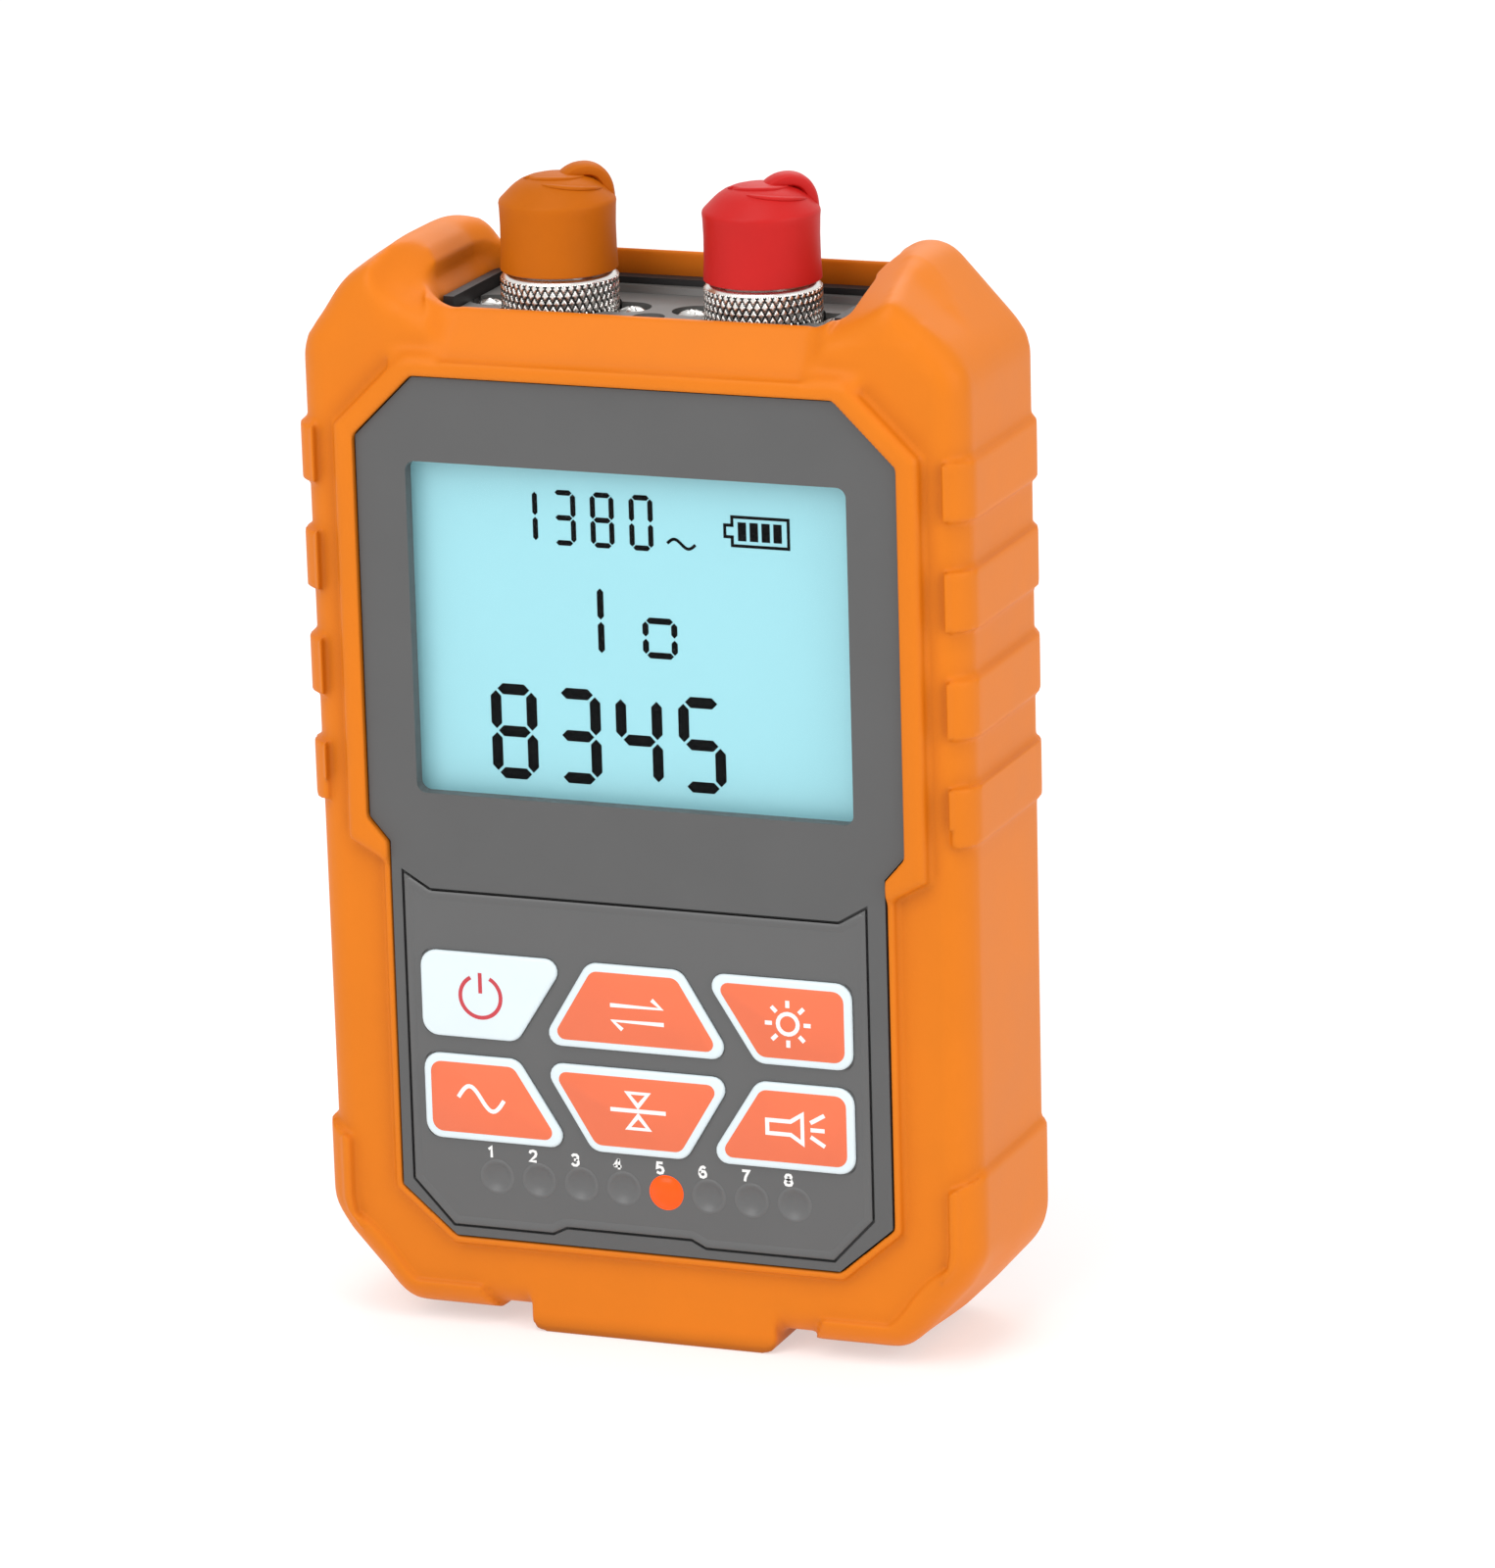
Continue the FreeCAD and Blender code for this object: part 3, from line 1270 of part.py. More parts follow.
def laser_module():
    high = SEAT - dim.barrel_below - dim.stack_gap
    x = dim.port_x
    step = dim.laser_length / 3
    tail = cylinder("laser_tail", (x, ZERO, high - dim.laser_length), dim.laser_radius,
                    dim.laser_length - step)
    nose = cylinder("laser_nose", (x, ZERO, high - step), dim.diode_radius, step)
    return fused("laser_module", [tail, nose])


def flange_screws():
    """Domed screws at both ends of each flange."""
    items = []
    for number, x in enumerate(flange_screw_places(), start=1):
        body = new_body("flange_screw_%d" % number)
        sketch = new_sketch(body, "XZ_Plane")
        draw_outline(sketch, [
            (ZERO, -dim.flange_screw_length),
            (dim.flange_screw_radius, -dim.flange_screw_length),
            (dim.flange_screw_radius, dim.stack_gap),
            (dim.flange_head_radius, dim.stack_gap),
            (dim.flange_head_radius, dim.flange_head * 0.45),
            (ZERO, dim.flange_head),
        ])
        revolve(body, sketch)
        place(body, x, ZERO, FLANGE_TOP)
        items.append(body)
    return group_of("flange_screws", items)


def torch_lamp():
    """The white lamp of the torch, between the ports."""
    body = new_body("torch_lamp")
    sketch = new_sketch(body, "XZ_Plane")
    low = -dim.torch_length
    draw_outline(sketch, [
        (ZERO, low),
        (dim.torch_radius + dim.torch_rim, low),
        (dim.torch_radius + dim.torch_rim, low + dim.torch_rim * 2),
        (dim.torch_radius, low + dim.torch_rim * 2),
        (dim.torch_radius, -dim.torch_rise),
        (ZERO, ZERO),
    ])
    revolve(body, sketch)
    place(body, ZERO, -dim.torch_y, dim.plate_top)
    return body


def dust_cap(name, side):
    """A soft cap with a sloped shoulder, a domed top and a pull loop over its back edge."""
    body = new_body(name)
    profile = new_sketch(body, "XZ_Plane")
    bore = dim.nose_radius + dim.cap_fit
    roof = NOSE_TOP + dim.cap_roof_gap - CAP_RIM
    top_radius = dim.cap_radius - dim.cap_chamfer_run
    chamfer_top = dim.cap_shoulder + dim.cap_chamfer_rise
    top = chamfer_top + dim.cap_dome
    draw_outline(profile, [
        (ZERO, roof),
        (bore, roof),
        (bore, ZERO),
        (dim.cap_radius, ZERO),
        (dim.cap_radius, dim.cap_shoulder),
        (top_radius, chamfer_top),
        (top_radius * 0.6, chamfer_top + dim.cap_dome * 0.8),
        (ZERO, top),
    ])
    revolve(body, profile)
    loop = new_sketch(body, "XZ_Plane", -dim.loop_width / 2)
    outer_x = dim.cap_radius
    peak = top + dim.loop_rise
    thick = dim.loop_thickness
    foot = dim.cap_shoulder - dim.loop_foot
    draw_outline(loop, [
        (dim.loop_start, chamfer_top),
        (dim.loop_start + thick, peak - thick / 2),
        (dim.loop_start + 2 * thick, peak),
        (outer_x - 1.4 * thick, peak - thick / 3),
        (outer_x, chamfer_top),
        (outer_x, foot),
        (outer_x - thick, foot),
        (outer_x - thick, chamfer_top - thick / 3),
        (outer_x - 1.8 * thick, peak - 1.3 * thick),
        (dim.loop_start + 2 * thick, peak - thick),
    ])
    pad(body, loop, dim.loop_width)
    turn = FreeCAD.Rotation(FreeCAD.Vector(0, 0, 1), dim.loop_turn.value)
    body.Placement = FreeCAD.Placement(FreeCAD.Vector(0, 0, 0), turn)
    place(body, side * dim.port_x, ZERO, CAP_RIM)
    return body


# Network socket

def network_socket():
    """The socket in the foot block, open downwards, with the notch for the plug's latch."""
    high = dim.jack_mouth + dim.jack_length
    body = slab("network_socket", rectangle(-dim.jack_half_width, dim.jack_half_width,
                                            -dim.jack_front, dim.jack_back), dim.jack_mouth, high)
    mouth = new_sketch(body, "XY_Plane", dim.jack_mouth)
    draw_outline(mouth, rectangle(-dim.plug_half_width, dim.plug_half_width,
                                  -dim.plug_front, dim.plug_back))
    pocket(body, mouth, dim.plug_length, along=True)
    latch = new_sketch(body, "XY_Plane", dim.jack_mouth)
    draw_outline(latch, rectangle(-dim.latch_half_width, dim.latch_half_width,
                                  dim.plug_back, dim.plug_back + dim.latch_depth))
    pocket(body, latch, dim.plug_length, along=True)
    return body


def socket_pins():
    """Eight sprung wires along the front wall of the socket."""
    items = []
    total = count(dim.pin_count)
    half = dim.pin_size / 2
    high = dim.jack_mouth + dim.plug_length
    for i in range(total):
        x = dim.pin_pitch * (i - (total - 1) / 2)
        items.append(box("socket_pin_%d" % (i + 1),
                         (x - half, -dim.plug_front + dim.stack_gap, high - dim.pin_length),
                         (x + half, -dim.plug_front + dim.stack_gap + dim.pin_size, high - dim.stack_gap)))
    return group_of("socket_pins", items)


def build_nodes():
    nodes = [protective_sleeve(), front_housing(), rear_housing(), housing_screws()]
    nodes += [display_window(), display_cell(), backlight_panel(), contact_strip()]
    nodes += [keypad_overlay(), keypad_mat()]
    nodes += [key_cap(name, outline) for name, outline in key_outlines().items()]
    nodes += [indicator("indicator_%d" % (i + 1), x, z) for i, (x, z) in enumerate(light_places())]
    nodes += [board_lamps(), main_board(), control_chip()]
    nodes += [battery("battery_%d" % (i + 1), x, up) for i, (x, up) in enumerate(cell_columns())]
    nodes += [battery_springs(), battery_contacts(), battery_cover()]
    nodes += [port_plate(), port_gasket(), flange_screws(), torch_lamp()]
    for side, word in ((-1, "power"), (1, "fault")):
        nodes.append(port_adapter(word + "_port_adapter", side))
        nodes.append(port_ring(word + "_port_ring", side))
        nodes.append(ferrule_sleeve(word + "_port_ferrule_sleeve", side))
        nodes.append(dust_cap(word + "_port_cap", side))
    nodes += [photodiode(), laser_module(), network_socket(), socket_pins()]
    return nodes


def check_document(nodes):
    for item in doc.Objects:
        if "Invalid" in item.State or "Error" in item.State:
            raise ValueError("%s did not build: %s" % (item.Label, item.State))
    for node in nodes:
        shape = node.Shape
        if shape.isNull() or not shape.isValid() or not shape.Solids:
            raise ValueError("%s has no valid solid" % node.Label)


def write_parts(nodes):
    for node in nodes:
        node.Shape.exportStep(os.path.join("parts", node.Label + ".step"))


all_nodes = build_nodes()
doc.recompute()
check_document(all_nodes)
write_parts(all_nodes)
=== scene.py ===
import math

import bmesh
import bpy
import numpy as np
from mathutils import Matrix, Vector

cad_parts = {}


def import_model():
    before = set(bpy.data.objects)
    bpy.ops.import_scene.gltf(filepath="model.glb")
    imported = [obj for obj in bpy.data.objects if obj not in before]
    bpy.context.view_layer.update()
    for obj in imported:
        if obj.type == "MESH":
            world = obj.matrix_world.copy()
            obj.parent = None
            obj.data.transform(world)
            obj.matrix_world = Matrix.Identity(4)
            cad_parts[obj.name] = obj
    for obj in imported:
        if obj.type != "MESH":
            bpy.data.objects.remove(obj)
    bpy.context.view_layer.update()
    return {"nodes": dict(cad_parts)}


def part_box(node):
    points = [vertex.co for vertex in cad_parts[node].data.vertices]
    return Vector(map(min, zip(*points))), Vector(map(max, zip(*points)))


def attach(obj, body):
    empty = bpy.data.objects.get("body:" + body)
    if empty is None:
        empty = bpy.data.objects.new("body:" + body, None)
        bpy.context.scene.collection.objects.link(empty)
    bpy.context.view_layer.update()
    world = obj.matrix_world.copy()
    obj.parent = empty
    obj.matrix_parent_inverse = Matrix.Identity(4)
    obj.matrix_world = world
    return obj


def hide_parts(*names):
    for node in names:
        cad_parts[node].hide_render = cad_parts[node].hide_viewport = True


# Looks of a handheld optical power meter in a rubber sleeve. Metres; the CAD's frame.

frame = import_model()

MM = 0.001
FACE_Y = -11.3
KEY_FACE_Y = -11.79
PORT_X = 10.6
LIGHT_PITCH = 4.5
LIGHT_HEIGHT = 16.1


# Colours and materials

def linear(code):
    """A linear colour from a six-digit sRGB code."""
    channels = []
    for start in (0, 2, 4):
        value = int(code[start:start + 2], 16) / 255
        channels.append(value / 12.92 if value <= 0.04045 else ((value + 0.055) / 1.055) ** 2.4)
    return tuple(channels) + (1.0,)


def shader_of(material):
    return material.node_tree.nodes["Principled BSDF"]


def add_node(material, kind, **inputs):
    node = material.node_tree.nodes.new(kind)
    for name, value in inputs.items():
        node.inputs[name.replace("_", " ")].default_value = value
    return node


def join(material, source, output, target, entry):
    material.node_tree.links.new(source.outputs[output], target.inputs[entry])


def material(name, code, roughness=0.5, metallic=0.0, mottle=0.06, mottle_scale=120.0,
             grain=0.0, grain_scale=1500.0, grain_depth=0.00004, coat=0.0, coat_roughness=0.1,
             specular=0.5, crease_shade=0.0):
    """A plastic, rubber or metal with slow colour change, fine grain and, where asked, painted shade that
    dims the colour in creases and hollows.
    """
    made = bpy.data.materials.new(name)
    made.use_nodes = True
    shader = shader_of(made)
    shader.inputs["Metallic"].default_value = metallic
    shader.inputs["Coat Weight"].default_value = coat
    shader.inputs["Coat Roughness"].default_value = coat_roughness
    shader.inputs["Specular IOR Level"].default_value = specular
    place = add_node(made, "ShaderNodeTexCoord")
    cloud = add_node(made, "ShaderNodeTexNoise", Scale=mottle_scale, Detail=3.0, Roughness=0.6)
    join(made, place, "Object", cloud, "Vector")
    ramp = add_node(made, "ShaderNodeValToRGB")
    base = linear(code)
    ramp.color_ramp.elements[0].position = 0.3
    ramp.color_ramp.elements[1].position = 0.7
    ramp.color_ramp.elements[0].color = tuple(c * (1 - mottle) for c in base[:3]) + (1.0,)
    ramp.color_ramp.elements[1].color = tuple(min(1.0, c * (1 + mottle)) for c in base[:3]) + (1.0,)
    join(made, cloud, "Fac", ramp, "Fac")
    # Painted shade: an ambient occlusion node dims the base colour in creases and hollows, where shade falls.
    if crease_shade > 0:
        occlusion_shade = add_node(made, "ShaderNodeAmbientOcclusion", Distance=0.0022)
        occlusion_shade.samples = 8
        level = add_node(made, "ShaderNodeMapRange")
        level.inputs["From Min"].default_value = 0.55
        level.inputs["From Max"].default_value = 0.95
        level.inputs["To Min"].default_value = 1.0 - crease_shade
        join(made, occlusion_shade, "AO", level, "Value")
        shaded_colour = add_node(made, "ShaderNodeVectorMath")
        shaded_colour.operation = "SCALE"
        join(made, ramp, "Color", shaded_colour, 0)
        join(made, level, "Result", shaded_colour, "Scale")
        join(made, shaded_colour, "Vector", shader, "Base Color")
    else:
        join(made, ramp, "Color", shader, "Base Color")
    rough = add_node(made, "ShaderNodeMapRange")
    rough.inputs["To Min"].default_value = max(0.0, roughness - 0.06)
    rough.inputs["To Max"].default_value = min(1.0, roughness + 0.06)
    join(made, cloud, "Fac", rough, "Value")
    join(made, rough, "Result", shader, "Roughness")
    if grain > 0:
        speck = add_node(made, "ShaderNodeTexNoise", Scale=grain_scale, Detail=2.0, Roughness=0.5)
        join(made, place, "Object", speck, "Vector")
        bump = add_node(made, "ShaderNodeBump", Strength=grain, Distance=grain_depth)
        join(made, speck, "Fac", bump, "Height")
        join(made, bump, "Normal", shader, "Normal")
    return made


def glass(name, code, alpha, roughness=0.05):
    """A thin clear plate that shows what lies behind it."""
    made = material(name, code, roughness=roughness, mottle=0.02, coat=0.3)
    shader_of(made).inputs["Alpha"].default_value = alpha
    return made


LOOKS = {
    # The sleeve's colour gets painted shade in its creases from ambient occlusion.
    "sleeve": material("sleeve_rubber", "DE7810", roughness=0.48, mottle=0.035, mottle_scale=60.0,
                       grain=0.35, grain_scale=2600.0, grain_depth=0.00003, specular=0.2, crease_shade=0.38),
    "shell": material("shell_grey", "555555", roughness=0.5, mottle=0.03, grain=0.3,
                      grain_scale=3000.0, grain_depth=0.00002),
    "overlay": material("overlay_grey", "5C5C5C", roughness=0.45, mottle=0.02, grain=0.15,
                        grain_scale=4000.0, grain_depth=0.00001),
    "coral": material("key_coral", "EC7148", roughness=0.42, mottle=0.02, grain=0.1,
                      grain_scale=3000.0, grain_depth=0.00001),
    "white": material("key_white", "E0ECF0", roughness=0.4, mottle=0.015, grain=0.08,
                      grain_scale=3000.0, grain_depth=0.00001),
    "ink_red": material("ink_red", "C83C46", roughness=0.45, mottle=0.03),
    # Dark metal for the knurl's groove bottoms: painted shade in the grooves.
    "groove": material("ring_groove_shade", "3A3A3A", roughness=0.45, metallic=1.0, mottle=0.2),
    "ink_white": material("ink_white", "F4F4F2", roughness=0.45, mottle=0.02),
    "mat": material("mat_grey", "9A9A9A", roughness=0.7),
    "lens": material("lens_smoked", "6B6B6B", roughness=0.3, mottle=0.02, coat=0.3),
    "lit": material("lens_lit", "EE5000", roughness=0.3, mottle=0.04, coat=0.08,
                    specular=0.25),
    "window": glass("window_clear", "20282A", 0.02),
    "display": material("display_glass", "9AD5DF", roughness=0.35, mottle=0.015, mottle_scale=40.0),
    "segment": material("display_segment", "020304", roughness=0.7, mottle=0.2, specular=0.1),
    "light": material("light_white", "E8EEF2", roughness=0.5),
    "strip": material("strip_pink", "C9A0A8", roughness=0.6),
    "board": material("board_green", "1E6A3C", roughness=0.35, coat=0.4, mottle=0.1),
    "chip": material("chip_black", "151515", roughness=0.5, grain=0.2),
    "plate": material("plate_grey", "5A5A58", roughness=0.42, grain=0.25, grain_scale=2500.0,
                      grain_depth=0.00002),
    "gasket": material("gasket_black", "1B1B1C", roughness=0.55, mottle=0.1, grain=0.2),
    "dome": material("dome_grey", "636363", roughness=0.42, mottle=0.02, coat=0.0),
    "bright": material("bright_metal", "D8D6D2", roughness=0.2, metallic=1.0, mottle=0.04),
    "ring": material("ring_metal", "E4E2DE", roughness=0.26, metallic=1.0, mottle=0.05),
    "screw": material("screw_steel", "BEBDBA", roughness=0.28, metallic=1.0, mottle=0.08),
    "ceramic": material("sleeve_ceramic", "F2F1EC", roughness=0.2, mottle=0.02, coat=0.3),
    "cap_orange": material("cap_orange", "BE6206", roughness=0.55, mottle=0.05, grain=0.25,
                           grain_scale=1800.0, grain_depth=0.00003, specular=0.12),
    "cap_red": material("cap_red", "C21C1A", roughness=0.5, mottle=0.05, grain=0.25,
                        grain_scale=1800.0, grain_depth=0.00003, specular=0.22),
    "wrap": material("cell_wrap", "3C5A50", roughness=0.3, coat=0.3),
    "spring": material("spring_steel", "B8B8B4", roughness=0.3, metallic=1.0),
    "socket": material("socket_black", "191919", roughness=0.38, grain=0.15),
    "gold": material("pin_gold", "D8A840", roughness=0.25, metallic=1.0),
}
glow = shader_of(LOOKS["lit"])
glow.inputs["Emission Color"].default_value = linear("FF5000")
glow.inputs["Emission Strength"].default_value = 0.3
shine = shader_of(LOOKS["display"])
shine.inputs["Emission Color"].default_value = linear("A4E4EE")
shine.inputs["Emission Strength"].default_value = 0.12

NODE_LOOKS = {
    "protective_sleeve": "sleeve", "front_housing": "shell", "rear_housing": "shell",
    "housing_screws": "screw", "display_window": "window", "display_cell": "display",
    "backlight_panel": "light", "contact_strip": "strip", "keypad_overlay": "overlay",
    "keypad_mat": "mat", "key_power": "white", "key_unit": "white", "key_backlight": "white",
    "key_wavelength": "white", "key_reference": "white", "key_torch": "white",
    "board_lamps": "light", "main_board": "board", "control_chip": "chip", "battery_1": "wrap",
    "battery_2": "wrap", "battery_3": "wrap", "battery_springs": "spring",
    "battery_contacts": "spring", "battery_cover": "shell", "port_plate": "plate", "port_gasket": "gasket",
    "flange_screws": "screw", "torch_lamp": "light", "power_port_adapter": "bright",
    "power_port_ring": "ring", "power_port_ferrule_sleeve": "ceramic",
    "power_port_cap": "cap_orange", "fault_port_adapter": "bright", "fault_port_ring": "ring",
    "fault_port_ferrule_sleeve": "ceramic", "fault_port_cap": "cap_red", "photodiode": "screw",
    "laser_module": "screw", "network_socket": "socket", "socket_pins": "gold",
}
for number in range(1, 9):
    NODE_LOOKS["indicator_%d" % number] = "lit" if number == 5 else "lens"


def dress_nodes():
    for name, look in NODE_LOOKS.items():
        item = frame["nodes"][name]
        if not item.material_slots:
            item.data.materials.append(LOOKS[look])
        for slot in item.material_slots:
            slot.material = LOOKS[look]


dress_nodes()


# Outlines, seen from the front in millimetres

def offset(outline, distance):
    """A closed outline moved inwards by a distance; it runs anticlockwise."""
    count = len(outline)
    moved = []
    for i in range(count):
        before, here, after = outline[i - 1], outline[i], outline[(i + 1) % count]
        first = Vector((here[0] - before[0], here[1] - before[1])).normalized()
        second = Vector((after[0] - here[0], after[1] - here[1])).normalized()
        normal = Vector((-first.y - second.y, first.x + second.x))
        normal /= max(0.2, 1 + first.dot(second))
        moved.append((here[0] + normal.x * distance, here[1] + normal.y * distance))
    return moved


def turning(outline):
    """Twice the outline's area; above nought when it runs anticlockwise."""
    total = 0.0
    for i, (u, v) in enumerate(outline):
        nu, nv = outline[(i + 1) % len(outline)]
        total += u * nv - nu * v
    return total


def rounded(outline, radius, steps=6, blunt=0.0):
    """The outline with its corners turned to arcs, each point with the way inwards from it.

    Corners that turn by less than 100 degrees get the blunt radius where one is given.
    """
    if turning(outline) < 0:
        outline = outline[::-1]
    points = []
    count = len(outline)
    for i in range(count):
        before, here, after = outline[i - 1], outline[i], outline[(i + 1) % count]
        into = Vector((here[0] - before[0], here[1] - before[1])).normalized()
        out = Vector((after[0] - here[0], after[1] - here[1])).normalized()
        cross = into.x * out.y - into.y * out.x
        bend = math.atan2(cross, into.dot(out))
        sharp = abs(bend) > math.radians(100) or not blunt
        size = radius if sharp else blunt
        reach = size * math.tan(abs(bend) / 2)
        start = Vector(here) - into * reach
        side = 1 if cross > 0 else -1
        centre = start + Vector((-into.y, into.x)) * size * side
        for step in range(steps + 1):
            angle = bend * step / steps
            arm = start - centre
            spot = centre + Vector((arm.x * math.cos(angle) - arm.y * math.sin(angle),
                                    arm.x * math.sin(angle) + arm.y * math.cos(angle)))
            inward = (centre - spot).normalized() * side
            points.append((spot.x, spot.y, inward.x, inward.y))
    return points


def mirror(outline):
    return [(-u, v) for u, v in reversed(outline)]


def key_outlines():
    """The six keys by name."""
    split, gap, tall, shift = 29.45, 2.0, 8.6, 0.4
    outlines = {}
    rows = (
        (("key_power", "key_unit", "key_backlight"), split + gap / 2 + tall, split + gap / 2),
        (("key_wavelength", "key_reference", "key_torch"), split - gap / 2 - tall, split - gap / 2),
    )
    for names, near, far in rows:
        right = [(12.7, far), (22.6, far), (22.6, near), (7.25, near)]
        middle = [(-10.05, far), (10.05, far), (4.85, near), (-4.85, near)]
        for name, outline in zip(names, (mirror(right), middle, right)):
            outlines[name] = [(u - shift, v) for u, v in outline]
    return outlines


# Building of pieces

def build(name, points, faces, look, body, smooth=True, replaces=()):
    """One mesh piece, in the look given, on the body it moves with."""
    mesh = bpy.data.meshes.new(name)
    mesh.from_pydata([tuple(c * MM for c in point) for point in points], [], faces)
    work = bmesh.new()
    work.from_mesh(mesh)
    bmesh.ops.remove_doubles(work, verts=work.verts, dist=1e-7)
    bmesh.ops.recalc_face_normals(work, faces=work.faces)
    work.to_mesh(mesh)
    work.free()
    mesh.materials.append(LOOKS[look])
    item = bpy.data.objects.new(name, mesh)
    bpy.context.collection.objects.link(item)
    if smooth:
        mesh.shade_smooth()
        mesh.set_sharp_from_angle(angle=math.radians(38))
    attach(item, body)
    if replaces:
        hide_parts(*replaces)
    return item


def layered(name, ring, profile, look, body, replaces=()):
    """A plate whose rim follows a ring of points through steps of (inset, depth), closed at both ends."""
    points = []
    for inset, depth in profile:
        points += [(u + nu * inset, depth, v + nv * inset) for u, v, nu, nv in ring]
    count = len(ring)
    faces = [tuple(range(count)), tuple(range(len(points) - count, len(points)))]
    for level in range(len(profile) - 1):
        base = level * count
        for i in range(count):
            j = (i + 1) % count
            faces.append((base + i, base + j, base + count + j, base + count + i))
    return build(name, points, faces, look, body, replaces=replaces)


def ribbon_points(path, width, closed=False):
    """Left and right edges of a stroke with mitred corners."""
    left, right = [], []
    count = len(path)
    for i, here in enumerate(path):
        before = path[i - 1] if i > 0 or closed else None
        after = path[(i + 1) % count] if i < count - 1 or closed else None
        into = (Vector(here) - Vector(before)).normalized() if before is not None else None
        out = (Vector(after) - Vector(here)).normalized() if after is not None else None
        into = into if into is not None else out
        out = out if out is not None else into
        normal = Vector((-into.y - out.y, into.x + out.x)) / max(0.5, 1 + into.dot(out))
        left.append((here[0] + normal.x * width / 2, here[1] + normal.y * width / 2))
        right.append((here[0] - normal.x * width / 2, here[1] - normal.y * width / 2))
    return left, right


def flat_mark(shapes, depth, thickness):
    """Points and faces of thin raised marks, each a list of (u, v) quads or outlines."""
    points, faces = [], []
    for shape in shapes:
        base = len(points)
        count = len(shape)
        points += [(u, depth, v) for u, v in shape]
        points += [(u, depth + thickness, v) for u, v in shape]
        faces.append(tuple(range(base, base + count)))
        faces.append(tuple(range(base + count, base + 2 * count)))
        for i in range(count):
            j = (i + 1) % count
            faces.append((base + i, base + j, base + count + j, base + count + i))
    return points, faces


def strokes(paths, width):
    """Outlines of several strokes, each one polygon or a ring of quads."""
    shapes = []
    for path, closed in paths:
        left, right = ribbon_points(path, width, closed)
        count = len(path)
        for i in range(count if closed else count - 1):
            j = (i + 1) % count
            shapes.append([left[i], left[j], right[j], right[i]])
    return shapes


def arc(centre, radius, start, end, steps):
    return [(centre[0] + radius * math.cos(math.radians(start + (end - start) * i / steps)),
             centre[1] + radius * math.sin(math.radians(start + (end - start) * i / steps)))
            for i in range(steps + 1)]


def lathe(profile, centre, sides=96):
    """Points and faces of a profile of (radius, height) turned about an upright axis."""
    points, faces = [], []
    for radius, height in profile:
        for i in range(sides):
            angle = 2 * math.pi * i / sides
            points.append((centre[0] + radius * math.cos(angle), centre[1] + radius * math.sin(angle),
                           height))
    for level in range(len(profile) - 1):
        for i in range(sides):
            j = (i + 1) % sides
            base = level * sides
            faces.append((base + i, base + j, base + sides + j, base + sides + i))
    return points, faces


def smooth_path(points, steps=6):
    """A smooth curve through the points given."""
    path = []
    last = len(points) - 1
    for i in range(last):
        p0 = Vector(points[max(0, i - 1)])
        p1, p2 = Vector(points[i]), Vector(points[i + 1])
        p3 = Vector(points[min(last, i + 2)])
        for step in range(steps):
            t = step / steps
            path.append(0.5 * (2 * p1 + (p2 - p0) * t + (2 * p0 - 5 * p1 + 4 * p2 - p3) * t * t
                               + (3 * p1 - p0 - 3 * p2 + p3) * t ** 3))
    path.append(Vector(points[last]))
    return path


def sweep(path, half_sizes, across, sides=14):
    """A band with a rounded section along a path.

    half_sizes gives (half width, half thickness) at a share of the path's length.
    """
    points, faces = [], []
    count = len(path)
    for i, here in enumerate(path):
        along = (path[min(i + 1, count - 1)] - path[max(i - 1, 0)]).normalized()
        wide = (across - along * across.dot(along)).normalized()
        thick = along.cross(wide)
        half_width, half_thickness = half_sizes(i / (count - 1))
        for k in range(sides):
            angle = 2 * math.pi * k / sides
            c, s = math.cos(angle), math.sin(angle)
            c = math.copysign(abs(c) ** 0.75, c)
            s = math.copysign(abs(s) ** 0.75, s)
            points.append(tuple(here + wide * (half_width * c) + thick * (half_thickness * s)))
    for i in range(count - 1):
        for k in range(sides):
            n = (k + 1) % sides
            faces.append((i * sides + k, i * sides + n, (i + 1) * sides + n, (i + 1) * sides + k))
    faces.append(tuple(range(sides)))
    faces.append(tuple(range((count - 1) * sides, count * sides)))
    return points, faces


# Rubber sleeve

def ease(value, start, end):
    """A soft step from nought at the start to one at the end."""
    share = np.clip((value - start) / (end - start), 0.0, 1.0)
    return share * share * (3 - 2 * share)


def horn_roof(x, y):
    """Height that the front of a horn stays under, from the two planes that meet on its ridge."""
    inner = 103.25 + 0.608 * (x - 20.9) + 0.306 * (y + 8.2)
    outer = 100.3 + 0.861 * (34.6 - x) + np.maximum(0.0, y + 2.0) * 0.3
    return np.minimum(inner, outer)


def mould(spots):
    """Moves the points in place: leaning well walls, fuller left horn, prouder lugs, cut front corners."""
    x, y, z = spots[:, 0], spots[:, 1], spots[:, 2]
    side, way = np.abs(x), np.sign(x)
    roof = horn_roof(side, y)
    high = (x > 20.4) & (z > 102.6) & (z > roof)
    z[high] = roof[high]
    wall = ease(z, 102.7, 105.2) * (1 - ease(side, 23.0, 27.5)) * (side > 18.0) * (1 - ease(y, 6.0, 9.5))
    x += way * wall * np.where(x < 0, 1.3, 0.5)
    crest = ease(z, 101.0, 103.5) * np.exp(-((x + 29.6) / 2.6) ** 2) * (x < 0)
    z += crest * 1.0
    lugs = ease(-y, 10.7, 10.95) * (y > -11.4) * ease(side, 31.0, 31.4) * (z < 97.0)
    y -= lugs * 0.35
    corner = ease(side, 25.5, 29.5) * (1 - ease(z, 8.5, 13.0)) * (1 - ease(y, -9.0, 2.0))
    x -= way * corner * 0.5
    z += corner * 0.5


def melt(mesh, chosen, passes):
    """Local smoothing of the chosen vertices."""
    work = bmesh.new()
    work.from_mesh(mesh)
    work.verts.ensure_lookup_table()
    verts = [work.verts[int(i)] for i in np.nonzero(chosen)[0]]
    for _ in range(passes):
        bmesh.ops.smooth_vert(work, verts=verts, factor=0.5, use_axis_x=True, use_axis_y=True,
                              use_axis_z=True)
    work.to_mesh(mesh)
    work.free()


